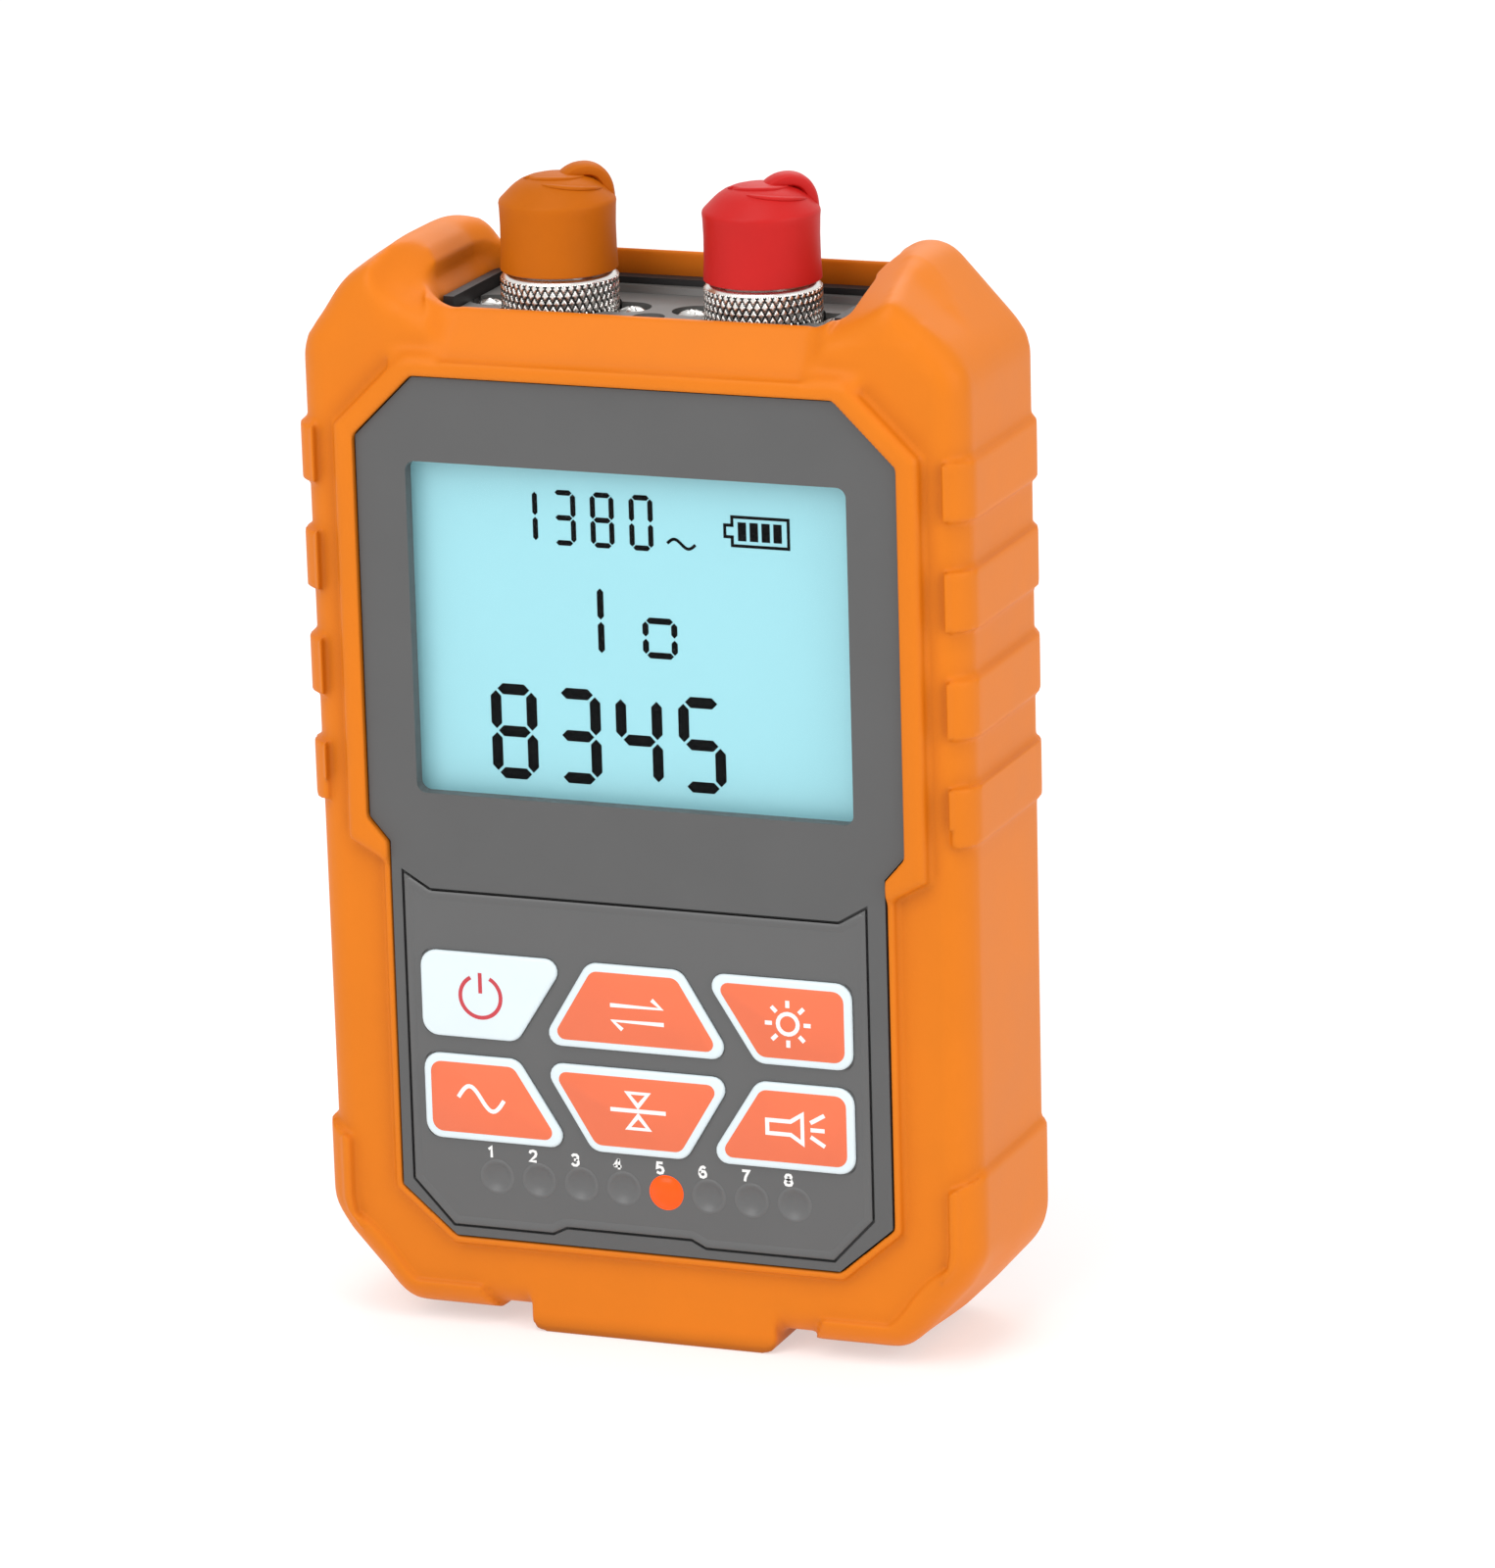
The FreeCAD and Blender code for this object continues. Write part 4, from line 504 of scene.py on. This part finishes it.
def evaluated(item):
    """A plain mesh of the object with its modifiers worked in."""
    bpy.context.view_layer.update()
    graph = bpy.context.evaluated_depsgraph_get()
    made = bpy.data.meshes.new_from_object(item.evaluated_get(graph))
    item.modifiers.clear()
    item.data = made
    return made


def soft_sleeve():
    """The sleeve with the soft edges that a rubber moulding has."""
    mesh = frame["nodes"]["protective_sleeve"].data.copy()
    item = bpy.data.objects.new("sleeve_skin", mesh)
    bpy.context.collection.objects.link(item)
    remesh = item.modifiers.new("even", "REMESH")
    remesh.mode = "VOXEL"
    remesh.voxel_size = 0.32 * MM
    mesh = evaluated(item)
    spots = np.zeros(len(mesh.vertices) * 3)
    mesh.vertices.foreach_get("co", spots)
    spots = spots.reshape(-1, 3) / MM
    mould(spots)
    mesh.vertices.foreach_set("co", (spots * MM).ravel())
    x, y, z = spots[:, 0], spots[:, 1], spots[:, 2]
    side = np.abs(x)
    melt(mesh, (side > 18.2) & (side < 25.5) & (y < -3.5) & (z > 101.6), 20)
    melt(mesh, (side > 18.6) & (side < 26.0) & (y < -7.2) & (z > 98.2), 14)
    melt(mesh, (x < -23.5) & (z > 100.0), 30)
    melt(mesh, (x > 22.0) & (z > 100.0), 18)
    melt(mesh, (x > 21.0) & (x < 30.0) & (y < 2.0) & (z > 102.5), 40)
    soften = item.modifiers.new("soften", "SMOOTH")
    soften.factor = 0.5
    soften.iterations = 1
    fewer = item.modifiers.new("fewer", "DECIMATE")
    fewer.ratio = 0.2
    made = evaluated(item)
    made.shade_smooth()
    made.materials.clear()
    made.materials.append(LOOKS["sleeve"])
    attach(item, "meter")
    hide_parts("protective_sleeve")


def cover_corners():
    """Round corners for the rear shell's opening, about those of the battery cover."""
    low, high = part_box("battery_cover")
    gap, radius, depth = 0.25, 2.05, 1.2
    shapes = []
    for way, side in ((-1, low.x), (1, high.x)):
        for rise, end in ((-1, low.z), (1, high.z)):
            u, v = side / MM + way * gap, end / MM + rise * gap
            bend = [(u - way * radius * (1 - math.cos(math.radians(a))),
                     v - rise * radius * (1 - math.sin(math.radians(a)))) for a in range(0, 91, 10)]
            shapes.append([(u, v)] + bend)
    points, faces = flat_mark(shapes, high.y / MM - depth, depth)
    build("rear_opening_corners", points, faces, "shell", "meter")


# Keys and their marks

KEY_PROFILE = [(0.0, -6.4), (0.0, -11.3), (-0.1, -11.36), (-0.1, -11.46), (-0.04, -11.62), (0.1, -11.72),
               (0.25, -11.75)]
MARK_PLACES = {
    "key_power": (-16.7, 34.75), "key_unit": (-0.1, 34.3), "key_backlight": (15.7, 34.7),
    "key_wavelength": (-17.0, 24.2), "key_reference": (-0.3, 24.4), "key_torch": (16.2, 24.1),
}


def key_marks():
    """A plain pictogram for each key, as strokes about its middle."""
    ray_ends = [math.radians(45 * i) for i in range(8)]
    sun = [(arc((0, 0), 0.85, 0, 360, 20)[:-1], True)]
    sun += [([(math.cos(a) * 1.35, math.sin(a) * 1.35), (math.cos(a) * 1.95, math.sin(a) * 1.95)], False)
            for a in ray_ends]
    wave = [(-2.0 + 4.0 * i / 24, 1.0 * math.sin(2 * math.pi * i / 24)) for i in range(25)]
    lamp_rays = [([(1.3, v * 0.45), (2.5, v)], False) for v in (-1.3, 0.0, 1.3)]
    return {
        "key_power": [(arc((0, 0), 2.15, 118, 422, 40), False), ([(0, 0.35), (0, 2.45)], False)],
        "key_unit": [([(-2.3, 0.65), (2.1, 0.65), (1.3, 1.35)], False),
                     ([(2.3, -0.65), (-2.1, -0.65), (-1.3, -1.35)], False)],
        "key_backlight": sun,
        "key_wavelength": [(wave, False)],
        "key_reference": [([(-2.4, 0.0), (2.4, 0.0)], False),
                          ([(-0.9, 1.5), (0.9, 1.5), (0.0, 0.4)], True),
                          ([(-0.9, -1.5), (0.9, -1.5), (0.0, -0.4)], True)],
        "key_torch": [([(-2.4, -0.55), (-2.4, 0.55), (-0.4, 0.55), (0.6, 1.2), (0.6, -1.2),
                        (-0.4, -0.55)], True)] + lamp_rays,
    }


def key_surround(name, ring):
    """The overlay's edge about a key, up to a hair's breadth from its side."""
    points, faces = [], []
    steps = [(-0.26, -11.1), (-0.26, -11.303), (-0.145, -11.303), (-0.13, -11.28), (-0.13, -11.1)]
    for inset, depth in steps:
        points += [(u + nu * inset, depth, v + nv * inset) for u, v, nu, nv in ring]
    count = len(ring)
    for level in range(len(steps) - 1):
        for i in range(count):
            j = (i + 1) % count
            base = level * count
            faces.append((base + i, base + j, base + count + j, base + count + i))
    build(name + "_surround", points, faces, "overlay", "meter")


def keys():
    marks = key_marks()
    for name, outline in key_outlines().items():
        ring = rounded(outline, 1.2, blunt=1.6)
        layered(name + "_cap", ring, KEY_PROFILE, "white", name, replaces=(name,))
        key_surround(name, ring)
        if name != "key_power":
            inner = rounded(offset(outline if turning(outline) > 0 else outline[::-1], 0.68), 0.8, blunt=1.15)
            layered(name + "_face", inner, [(0.0, -11.7), (0.0, -11.76), (0.05, KEY_FACE_Y)], "coral", name)
        depth = KEY_PROFILE[-1][1] if name == "key_power" else KEY_FACE_Y
        middle = MARK_PLACES[name]
        size = 1.0 if name == "key_power" else 1.22
        paths = [([(u * size + middle[0], v * size + middle[1]) for u, v in path], closed)
                 for path, closed in marks[name]]
        width = 0.4 if name == "key_power" else 0.42
        points, faces = flat_mark(strokes(paths, width), depth - 0.015, 0.03)
        build(name + "_mark", points, faces, "ink_red" if name == "key_power" else "ink_white", name,
              smooth=False)


# Rim of the membrane overlay

def overlay_rim():
    """The overlay's rounded rim, which catches the light beside its dark gap."""
    shift, base, raised = 0.4, 10.8, 11.55
    outline = [(-20.1, base), (-9.6, base), (-8.1, raised), (5.2, raised), (6.7, base), (20.1, base),
               (24.2, 15.2), (24.2, 46.7), (21.5, 45.1), (-21.5, 45.1), (-24.2, 46.7), (-24.2, 15.2)]
    ring = rounded([(u - shift, v) for u, v in outline], 0.5, 3)
    points, faces = [], []
    steps = [(0.0, -11.0), (0.0, -11.3), (0.1, -11.4), (0.25, -11.44), (0.5, -11.4), (0.85, -11.295)]
    for inset, depth in steps:
        points += [(u + nu * inset, depth, v + nv * inset) for u, v, nu, nv in ring]
    count = len(ring)
    for level in range(len(steps) - 1):
        for i in range(count):
            j = (i + 1) % count
            base_index = level * count
            faces.append((base_index + i, base_index + j, base_index + count + j, base_index + count + i))
    build("overlay_rim", points, faces, "overlay", "meter")


# Numbers above the indicators

DIGITS = {
    "1": [[(0.2, 0.76), (0.56, 1.0), (0.56, 0.0)]],
    "2": [[(0.08, 0.74), (0.2, 0.94), (0.5, 1.0), (0.8, 0.93), (0.88, 0.72), (0.78, 0.5), (0.1, 0.0),
           (0.92, 0.0)]],
    "3": [[(0.08, 0.85), (0.3, 1.0), (0.65, 1.0), (0.84, 0.86), (0.82, 0.62), (0.6, 0.52), (0.35, 0.52)],
          [(0.6, 0.52), (0.86, 0.4), (0.88, 0.16), (0.66, 0.0), (0.3, 0.0), (0.06, 0.16)]],
    "4": [[(0.68, 0.0), (0.68, 1.0)], [(0.68, 1.0), (0.05, 0.3)], [(0.05, 0.3), (0.98, 0.3)]],
    "5": [[(0.85, 1.0), (0.2, 1.0), (0.14, 0.52), (0.45, 0.62), (0.78, 0.54), (0.9, 0.3), (0.76, 0.06),
           (0.45, 0.0), (0.08, 0.12)]],
    "6": [[(0.84, 0.86), (0.6, 1.0), (0.34, 0.94), (0.14, 0.66), (0.1, 0.3), (0.26, 0.04), (0.56, 0.0),
           (0.84, 0.1), (0.9, 0.32), (0.76, 0.54), (0.46, 0.58), (0.14, 0.4)]],
    "7": [[(0.08, 1.0), (0.92, 1.0), (0.52, 0.45), (0.4, 0.0)]],
    "8": [[(0.5, 0.54), (0.22, 0.62), (0.15, 0.8), (0.28, 0.97), (0.5, 1.0), (0.72, 0.97), (0.85, 0.8),
           (0.78, 0.62), (0.5, 0.54)],
          [(0.5, 0.54), (0.16, 0.44), (0.06, 0.24), (0.2, 0.04), (0.5, 0.0), (0.8, 0.04), (0.94, 0.24),
           (0.84, 0.44), (0.5, 0.54)]],
}


def light_numbers():
    shapes = []
    for index in range(8):
        middle = LIGHT_PITCH * (index - 3.5)
        for path in DIGITS[str(index + 1)]:
            spots = [(middle - 0.42 - 0.6 + u * 0.84, 18.05 + v * 1.08) for u, v in path]
            shapes += strokes([(spots, False)], 0.27)
    points, faces = flat_mark(shapes, FACE_Y - 0.015, 0.03)
    build("light_numbers", points, faces, "ink_white", "meter", smooth=False)


def indicators():
    """The light pipes: shallow dishes with a raised rim, and a low dome on the lit one."""
    for index in range(8):
        x = LIGHT_PITCH * (index - 3.5)
        name = "indicator_%d" % (index + 1)
        sides, points, faces = 40, [], []
        if index == 4:
            profile = [(0.05, -0.45), (0.45, -0.43), (0.85, -0.37), (1.2, -0.27), (1.45, -0.15), (1.6, -0.05)]
        else:
            profile = [(0.05, 0.42), (0.5, 0.39), (0.85, 0.31), (1.15, 0.18), (1.38, 0.04), (1.5, -0.04),
                       (1.6, -0.07)]
        profile += [(1.72, -0.05), (1.8, -0.01), (1.8, 0.0), (1.62, 0.02), (1.62, 4.9)]
        for radius, depth in profile:
            points += [(x + radius * math.cos(2 * math.pi * i / sides), FACE_Y + depth,
                        LIGHT_HEIGHT + radius * math.sin(2 * math.pi * i / sides)) for i in range(sides)]
        for level in range(len(profile) - 1):
            for i in range(sides):
                j = (i + 1) % sides
                base = level * sides
                faces.append((base + i, base + j, base + sides + j, base + sides + i))
        faces.append(tuple(range(sides)))
        faces.append(tuple(range((len(profile) - 1) * sides, len(profile) * sides)))
        build(name + "_pipe", points, faces, "lit" if index == 4 else "dome", "meter", replaces=(name,))


# Display

def segment_shapes(left, low, width, height, digit, thick):
    """Seven-segment strokes of a digit, each with slanted ends."""
    lit = {"0": "abcdef", "1": "bc", "3": "abgcd", "4": "fgbc", "5": "afgcd", "8": "abcdefg"}[digit]
    gap = thick * 0.18
    half = thick / 2
    right, top, mid = left + width, low + height, low + height / 2
    spans = {
        "a": ((left, top), (right, top)), "b": ((right, mid), (right, top)),
        "c": ((right, low), (right, mid)), "d": ((left, low), (right, low)),
        "e": ((left, low), (left, mid)), "f": ((left, mid), (left, top)),
        "g": ((left, mid), (right, mid)),
    }
    shapes = []
    for code in lit:
        (u0, v0), (u1, v1) = spans[code]
        if v0 == v1:
            u0, u1 = u0 + gap, u1 - gap
            shapes.append([(u0, v0), (u0 + half, v0 - half), (u1 - half, v0 - half), (u1, v0),
                           (u1 - half, v0 + half), (u0 + half, v0 + half)])
        else:
            v0, v1 = v0 + gap, v1 - gap
            shapes.append([(u0, v0), (u0 + half, v0 + half), (u0 + half, v1 - half), (u0, v1),
                           (u0 - half, v1 - half), (u0 - half, v0 + half)])
    return shapes


def display_marks():
    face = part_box("display_cell")[0].y / MM
    shapes = []
    for digit, left in (("1", -12.3), ("3", -8.3), ("8", -4.3), ("0", -0.25)):
        shapes += segment_shapes(left, 80.65, 1.95, 5.0, digit, 0.52)
    shapes += segment_shapes(-6.4, 69.75, 2.6, 6.7, "1", 0.66)
    shapes += segment_shapes(0.85, 70.0, 3.0, 3.45, "0", 0.62)
    for digit, left in (("8", -15.15), ("3", -8.45), ("4", -2.0), ("5", 4.55)):
        shapes += segment_shapes(left, 57.05, 3.75, 8.5, digit, 1.1)
    wave = [(3.4 + 2.9 * i / 16, 81.3 + 0.45 * math.sin(2 * math.pi * i / 16)) for i in range(17)]
    shapes += strokes([(wave, False)], 0.3)
    shell = [(10.15, 81.5), (15.95, 81.5), (15.95, 84.35), (10.15, 84.35), (10.15, 83.5), (9.4, 83.5),
             (9.4, 82.35), (10.15, 82.35)]
    shapes += strokes([(shell, True)], 0.3)
    for bar in range(4):
        left = 10.75 + bar * 1.22
        shapes.append([(left, 82.0), (left + 0.85, 82.0), (left + 0.85, 83.85), (left, 83.85)])
    points, faces = flat_mark(shapes, face - 0.035, 0.03)
    build("display_marks", points, faces, "segment", "meter", smooth=False)


# Ports

def knurled_ring(name, side, node):
    """A ring with crossed grooves between a plain foot and a chamfered top; the groove bottoms get a dark
    metal as painted shade.
    """
    sides, rows = 384, 44
    low, knurl_top, top = 101.3, 105.2, 105.65
    outer, inner, groove, pitch = 5.78, 4.5, 0.17, 2 * math.pi / 48
    heights = [(low, False)] + [(low + 0.12 + (knurl_top - low - 0.12) * i / rows, True)
                                for i in range(rows + 1)]
    points, faces = [], []
    for height, cut in heights:
        for i in range(sides):
            angle = 2 * math.pi * i / sides
            radius = outer - 0.05
            if cut:
                u, v = angle / pitch, (height - low) / 1.45
                first, second = (u + v) % 1.0, (u - v) % 1.0
                shape = min(abs(first - 0.5), abs(second - 0.5)) * 2
                radius = outer - groove * (1 - min(1.0, shape * 2.2))
            points.append((side * PORT_X + radius * math.cos(angle), radius * math.sin(angle), height))
    rim = [(outer - 0.1, knurl_top + 0.04), (outer - 0.14, knurl_top + 0.14), (outer - 0.5, top),
           (inner, top), (inner, low)]
    for radius, height in rim:
        for i in range(sides):
            angle = 2 * math.pi * i / sides
            points.append((side * PORT_X + radius * math.cos(angle), radius * math.sin(angle), height))
    levels = len(heights) + len(rim)
    for level in range(levels - 1):
        for i in range(sides):
            j = (i + 1) % sides
            base = level * sides
            faces.append((base + i, base + j, base + sides + j, base + sides + i))
    item = build(name, points, faces, "ring", "meter", replaces=(node,))
    # The groove bottoms take the dark metal: painted shade where the grooves lie in shadow.
    item.data.materials.append(LOOKS["groove"])
    axis = Vector((side * PORT_X, 0.0))
    for face in item.data.polygons:
        middle = Vector((face.center.x / MM, face.center.y / MM))
        height = face.center.z / MM
        if (middle - axis).length < outer - groove * 0.5 and low + 0.1 < height < knurl_top:
            face.material_index = 1
    return item


def nose_thread(name, side):
    """Turns of thread about a port's nose, parted by the key's slot at the front."""
    low, high, slot_foot, slot_half = 105.75, 110.8, 107.9, math.radians(15.5)
    ridge = [(4.38, 0.0), (4.53, 0.2), (4.53, 0.3), (4.38, 0.5)]
    pitch, sides, count = 0.62, 96, len(ridge)
    points, faces = [], []
    for turn in range(int((high - low) / pitch)):
        foot = low + turn * pitch
        cut = slot_half if foot + 0.5 > slot_foot else 0.0
        base = len(points)
        for i in range(sides + 1):
            angle = -math.pi / 2 + cut + (2 * math.pi - 2 * cut) * i / sides
            points += [(side * PORT_X + radius * math.cos(angle), radius * math.sin(angle), foot + rise)
                       for radius, rise in ridge]
        for i in range(sides):
            here = base + i * count
            for k in range(count):
                n = (k + 1) % count
                faces.append((here + k, here + n, here + count + n, here + count + k))
        if cut:
            last = base + sides * count
            faces += [tuple(range(base, base + count)), tuple(range(last, last + count))]
    build(name, points, faces, "bright", "meter")


def domed_screws():
    """Screws with a cross recess at both ends of each flange."""
    points, faces = [], []
    rings, sides, radius = 16, 72, 1.55
    for x in [side * PORT_X + end * 7.5 for side in (-1, 1) for end in (-1, 1)]:
        base = len(points)
        turn = 0.5 + x
        for ring in range(rings + 1):
            reach = radius * ring / rings
            for i in range(sides):
                angle = 2 * math.pi * i / sides
                u, v = reach * math.cos(angle - turn), reach * math.sin(angle - turn)
                height = 0.2 + 1.1 * math.sqrt(max(0.0, 1 - (reach / radius) ** 2 * 0.85)) - 0.12
                arm = min(abs(u), abs(v))
                if arm < 0.24 and reach < 1.0:
                    height -= 0.45 * min(1.0, (0.24 - arm) / 0.06, (1.0 - reach) / 0.1)
                points.append((x + reach * math.cos(angle), reach * math.sin(angle), 101.25 + height))
        for i in range(sides):
            angle = 2 * math.pi * i / sides
            points.append((x + radius * math.cos(angle), radius * math.sin(angle), 101.22))
        for ring in range(rings + 1):
            for i in range(sides):
                j = (i + 1) % sides
                row = base + ring * sides
                faces.append((row + i, row + j, row + sides + j, row + sides + i))
    build("flange_screw_heads", points, faces, "screw", "meter")


def plate_rim():
    """The port plate's raised rear rim, with a bevel towards the ports."""
    section = [(6.35, 102.36), (6.6, 102.8), (6.75, 103.0), (7.55, 103.0), (7.6, 102.95), (7.6, 102.36)]
    points, faces = [], []
    for x in (-19.4, 19.4):
        points += [(x, y, z) for y, z in section]
    count = len(section)
    for i in range(count):
        j = (i + 1) % count
        faces.append((i, j, count + j, count + i))
    faces += [tuple(range(count)), tuple(range(count, 2 * count))]
    build("plate_rim", points, faces, "plate", "meter")


CAP_PROFILE = [(4.6, 0.0), (5.62, 0.0), (5.75, 0.12), (5.74, 0.5), (5.66, 2.0), (5.64, 4.4), (5.7, 6.1),
               (5.75, 6.6), (5.7, 6.85), (5.55, 7.05), (5.1, 7.5), (4.6, 8.0), (4.2, 8.35),
               (3.6, 8.75), (2.8, 9.08), (1.9, 9.3), (0.9, 9.42), (0.0, 9.45)]
CAP_BORE = [(0.0, 5.8), (4.5, 5.8), (4.6, 5.65)]


def dome_height(reach):
    """Height of the cap's surface at a distance from its axis."""
    for (outer, low), (inner, high) in zip(CAP_PROFILE[7:], CAP_PROFILE[8:]):
        if inner <= reach <= outer:
            return low + (high - low) * (outer - reach) / max(1e-6, outer - inner)
    return CAP_PROFILE[-1][1]


def ridge_taper(share):
    """Half width and half thickness of a cap's ridge, which runs out at both ends."""
    swell = math.sin(math.pi * min(1, max(0, share))) ** 0.5
    return 0.34 * swell + 0.03, 0.2 * swell + 0.02


def loop_taper(share):
    """Half width and half thickness of a cap's pull loop."""
    return 1.35 - 0.4 * abs(share - 0.35), 0.7


def dust_cap(node, side, look):
    """A soft cap: domed top with two curved ridges and a pull loop over its back right edge."""
    centre = (side * PORT_X, 0.0)
    rim = 105.9
    points, faces = lathe([(radius, rim + height) for radius, height in CAP_BORE + CAP_PROFILE], centre)
    build(node + "_shell", points, faces, look, node, replaces=(node,))
    crescent = []
    for i in range(25):
        angle = math.radians(205 + 150 * i / 24)
        reach = 3.7 - 1.3 * (i / 24)
        crescent.append((reach * math.cos(angle) + 0.2, reach * math.sin(angle) + 0.9))
    swoosh = []
    for i in range(25):
        angle = math.radians(262 + 105 * i / 24)
        reach = 3.4 + 0.9 * (i / 24)
        swoosh.append((reach * math.cos(angle) + 0.2, reach * math.sin(angle) + 0.1))
    for word, path in (("crescent", crescent), ("sweep", swoosh)):
        line = [Vector((centre[0] + u, centre[1] + v, rim + dome_height(math.hypot(u, v)) - 0.02))
                for u, v in path]
        points, faces = sweep(line, ridge_taper, Vector((0.3, -0.2, 0.0)))
        build(node + "_" + word, points, faces, look, node)
    turn = Matrix.Rotation(math.radians(35.0), 3, "Z")
    path = [(0.5, 0, 8.6), (1.1, 0, 9.15), (2.0, 0, 9.55), (3.1, 0, 9.6), (4.1, 0, 9.15), (4.75, 0, 8.2),
            (5.0, 0, 7.0), (5.0, 0, 5.6), (4.85, 0, 4.6)]
    line = [turn @ spot + Vector((centre[0], centre[1], rim)) for spot in smooth_path(path)]
    points, faces = sweep(line, loop_taper, turn @ Vector((0, 1, 0)))
    build(node + "_loop", points, faces, look, node)


soft_sleeve()
cover_corners()
keys()
overlay_rim()
light_numbers()
indicators()
display_marks()
knurled_ring("power_port_knurl", -1, "power_port_ring")
knurled_ring("fault_port_knurl", 1, "fault_port_ring")
nose_thread("power_port_thread", -1)
nose_thread("fault_port_thread", 1)
domed_screws()
plate_rim()
dust_cap("power_port_cap", -1, "cap_orange")
dust_cap("fault_port_cap", 1, "cap_red")


# Stage, light and camera

def floor():
    made = bpy.data.materials.new("stage_white")
    made.use_nodes = True
    shader = shader_of(made)
    shader.inputs["Base Color"].default_value = (0.55, 0.55, 0.55, 1.0)
    shader.inputs["Emission Color"].default_value = (1.0, 1.0, 1.0, 1.0)
    shader.inputs["Emission Strength"].default_value = 0.5
    shader.inputs["Roughness"].default_value = 0.9
    bpy.ops.mesh.primitive_plane_add(size=6.0, location=(0, 0, -0.00002))
    plane = bpy.context.object
    plane.name = "stage_floor"
    plane.data.materials.append(made)
    return plane


def world():
    made = bpy.data.worlds.new("studio")
    bpy.context.scene.world = made
    made.use_nodes = True
    tree = made.node_tree
    tree.nodes.clear()
    output = tree.nodes.new("ShaderNodeOutputWorld")
    soft = tree.nodes.new("ShaderNodeBackground")
    soft.inputs["Color"].default_value = (1.0, 1.0, 1.0, 1.0)
    soft.inputs["Strength"].default_value = 0.52
    seen = tree.nodes.new("ShaderNodeBackground")
    seen.inputs["Color"].default_value = (1.0, 1.0, 1.0, 1.0)
    seen.inputs["Strength"].default_value = 1.0
    path = tree.nodes.new("ShaderNodeLightPath")
    mix = tree.nodes.new("ShaderNodeMixShader")
    seen_by = path.outputs["Is Camera Ray"]
    for kind in ("Is Glossy Ray", "Is Transmission Ray"):
        either = tree.nodes.new("ShaderNodeMath")
        either.operation = "MAXIMUM"
        tree.links.new(seen_by, either.inputs[0])
        tree.links.new(path.outputs[kind], either.inputs[1])
        seen_by = either.outputs["Value"]
    tree.links.new(seen_by, mix.inputs["Fac"])
    tree.links.new(soft.outputs["Background"], mix.inputs[1])
    tree.links.new(seen.outputs["Background"], mix.inputs[2])
    tree.links.new(mix.outputs["Shader"], output.inputs["Surface"])


def area_light(name, place, target, size, watts):
    data = bpy.data.lights.new(name, "AREA")
    data.shape = "SQUARE"
    data.size = size
    data.energy = watts
    lamp = bpy.data.objects.new(name, data)
    bpy.context.collection.objects.link(lamp)
    lamp.location = place
    lamp.rotation_euler = (Vector(target) - Vector(place)).to_track_quat("-Z", "Y").to_euler()
    return lamp


def camera():
    """The photograph's camera, fitted to the meter's straight edges."""
    azimuth, elevation, roll = math.radians(21.5), math.radians(15.4207), math.radians(-1.5905)
    back = Vector((math.sin(azimuth) * math.cos(elevation), -math.cos(azimuth) * math.cos(elevation),
                   math.sin(elevation)))
    right = (-back).cross(Vector((0, 0, 1))).normalized()
    up = right.cross(-back)
    turned_right = right * math.cos(roll) + up * math.sin(roll)
    turned_up = -right * math.sin(roll) + up * math.cos(roll)
    spot = (back * 831.98 + turned_right * 11.4257 + Vector((0, -12.0, 57.8))) * MM
    data = bpy.data.cameras.new("camera")
    data.sensor_width = 36.0
    data.lens = 8751.47 * 36.0 / 1600.0
    data.clip_start = 0.01
    data.clip_end = 20.0
    item = bpy.data.objects.new("camera", data)
    bpy.context.collection.objects.link(item)
    turn = Matrix((turned_right, turned_up, back)).transposed()
    item.matrix_world = Matrix.Translation(spot) @ turn.to_4x4()
    bpy.context.scene.camera = item


def stage():
    floor()
    world()
    middle = (0.0, 0.0, 0.06)
    area_light("key_light", (-0.25, -0.75, 0.7), middle, 0.7, 4.1)
    area_light("top_light", (0.05, -0.28, 0.95), middle, 0.45, 1.9)
    area_light("side_light", (0.8, -0.2, 0.4), middle, 0.6, 2.4)
    area_light("back_light", (-0.1, 0.7, 0.7), middle, 0.6, 2.6)
    camera()
    bpy.context.scene.view_settings.view_transform = "Standard"


stage()
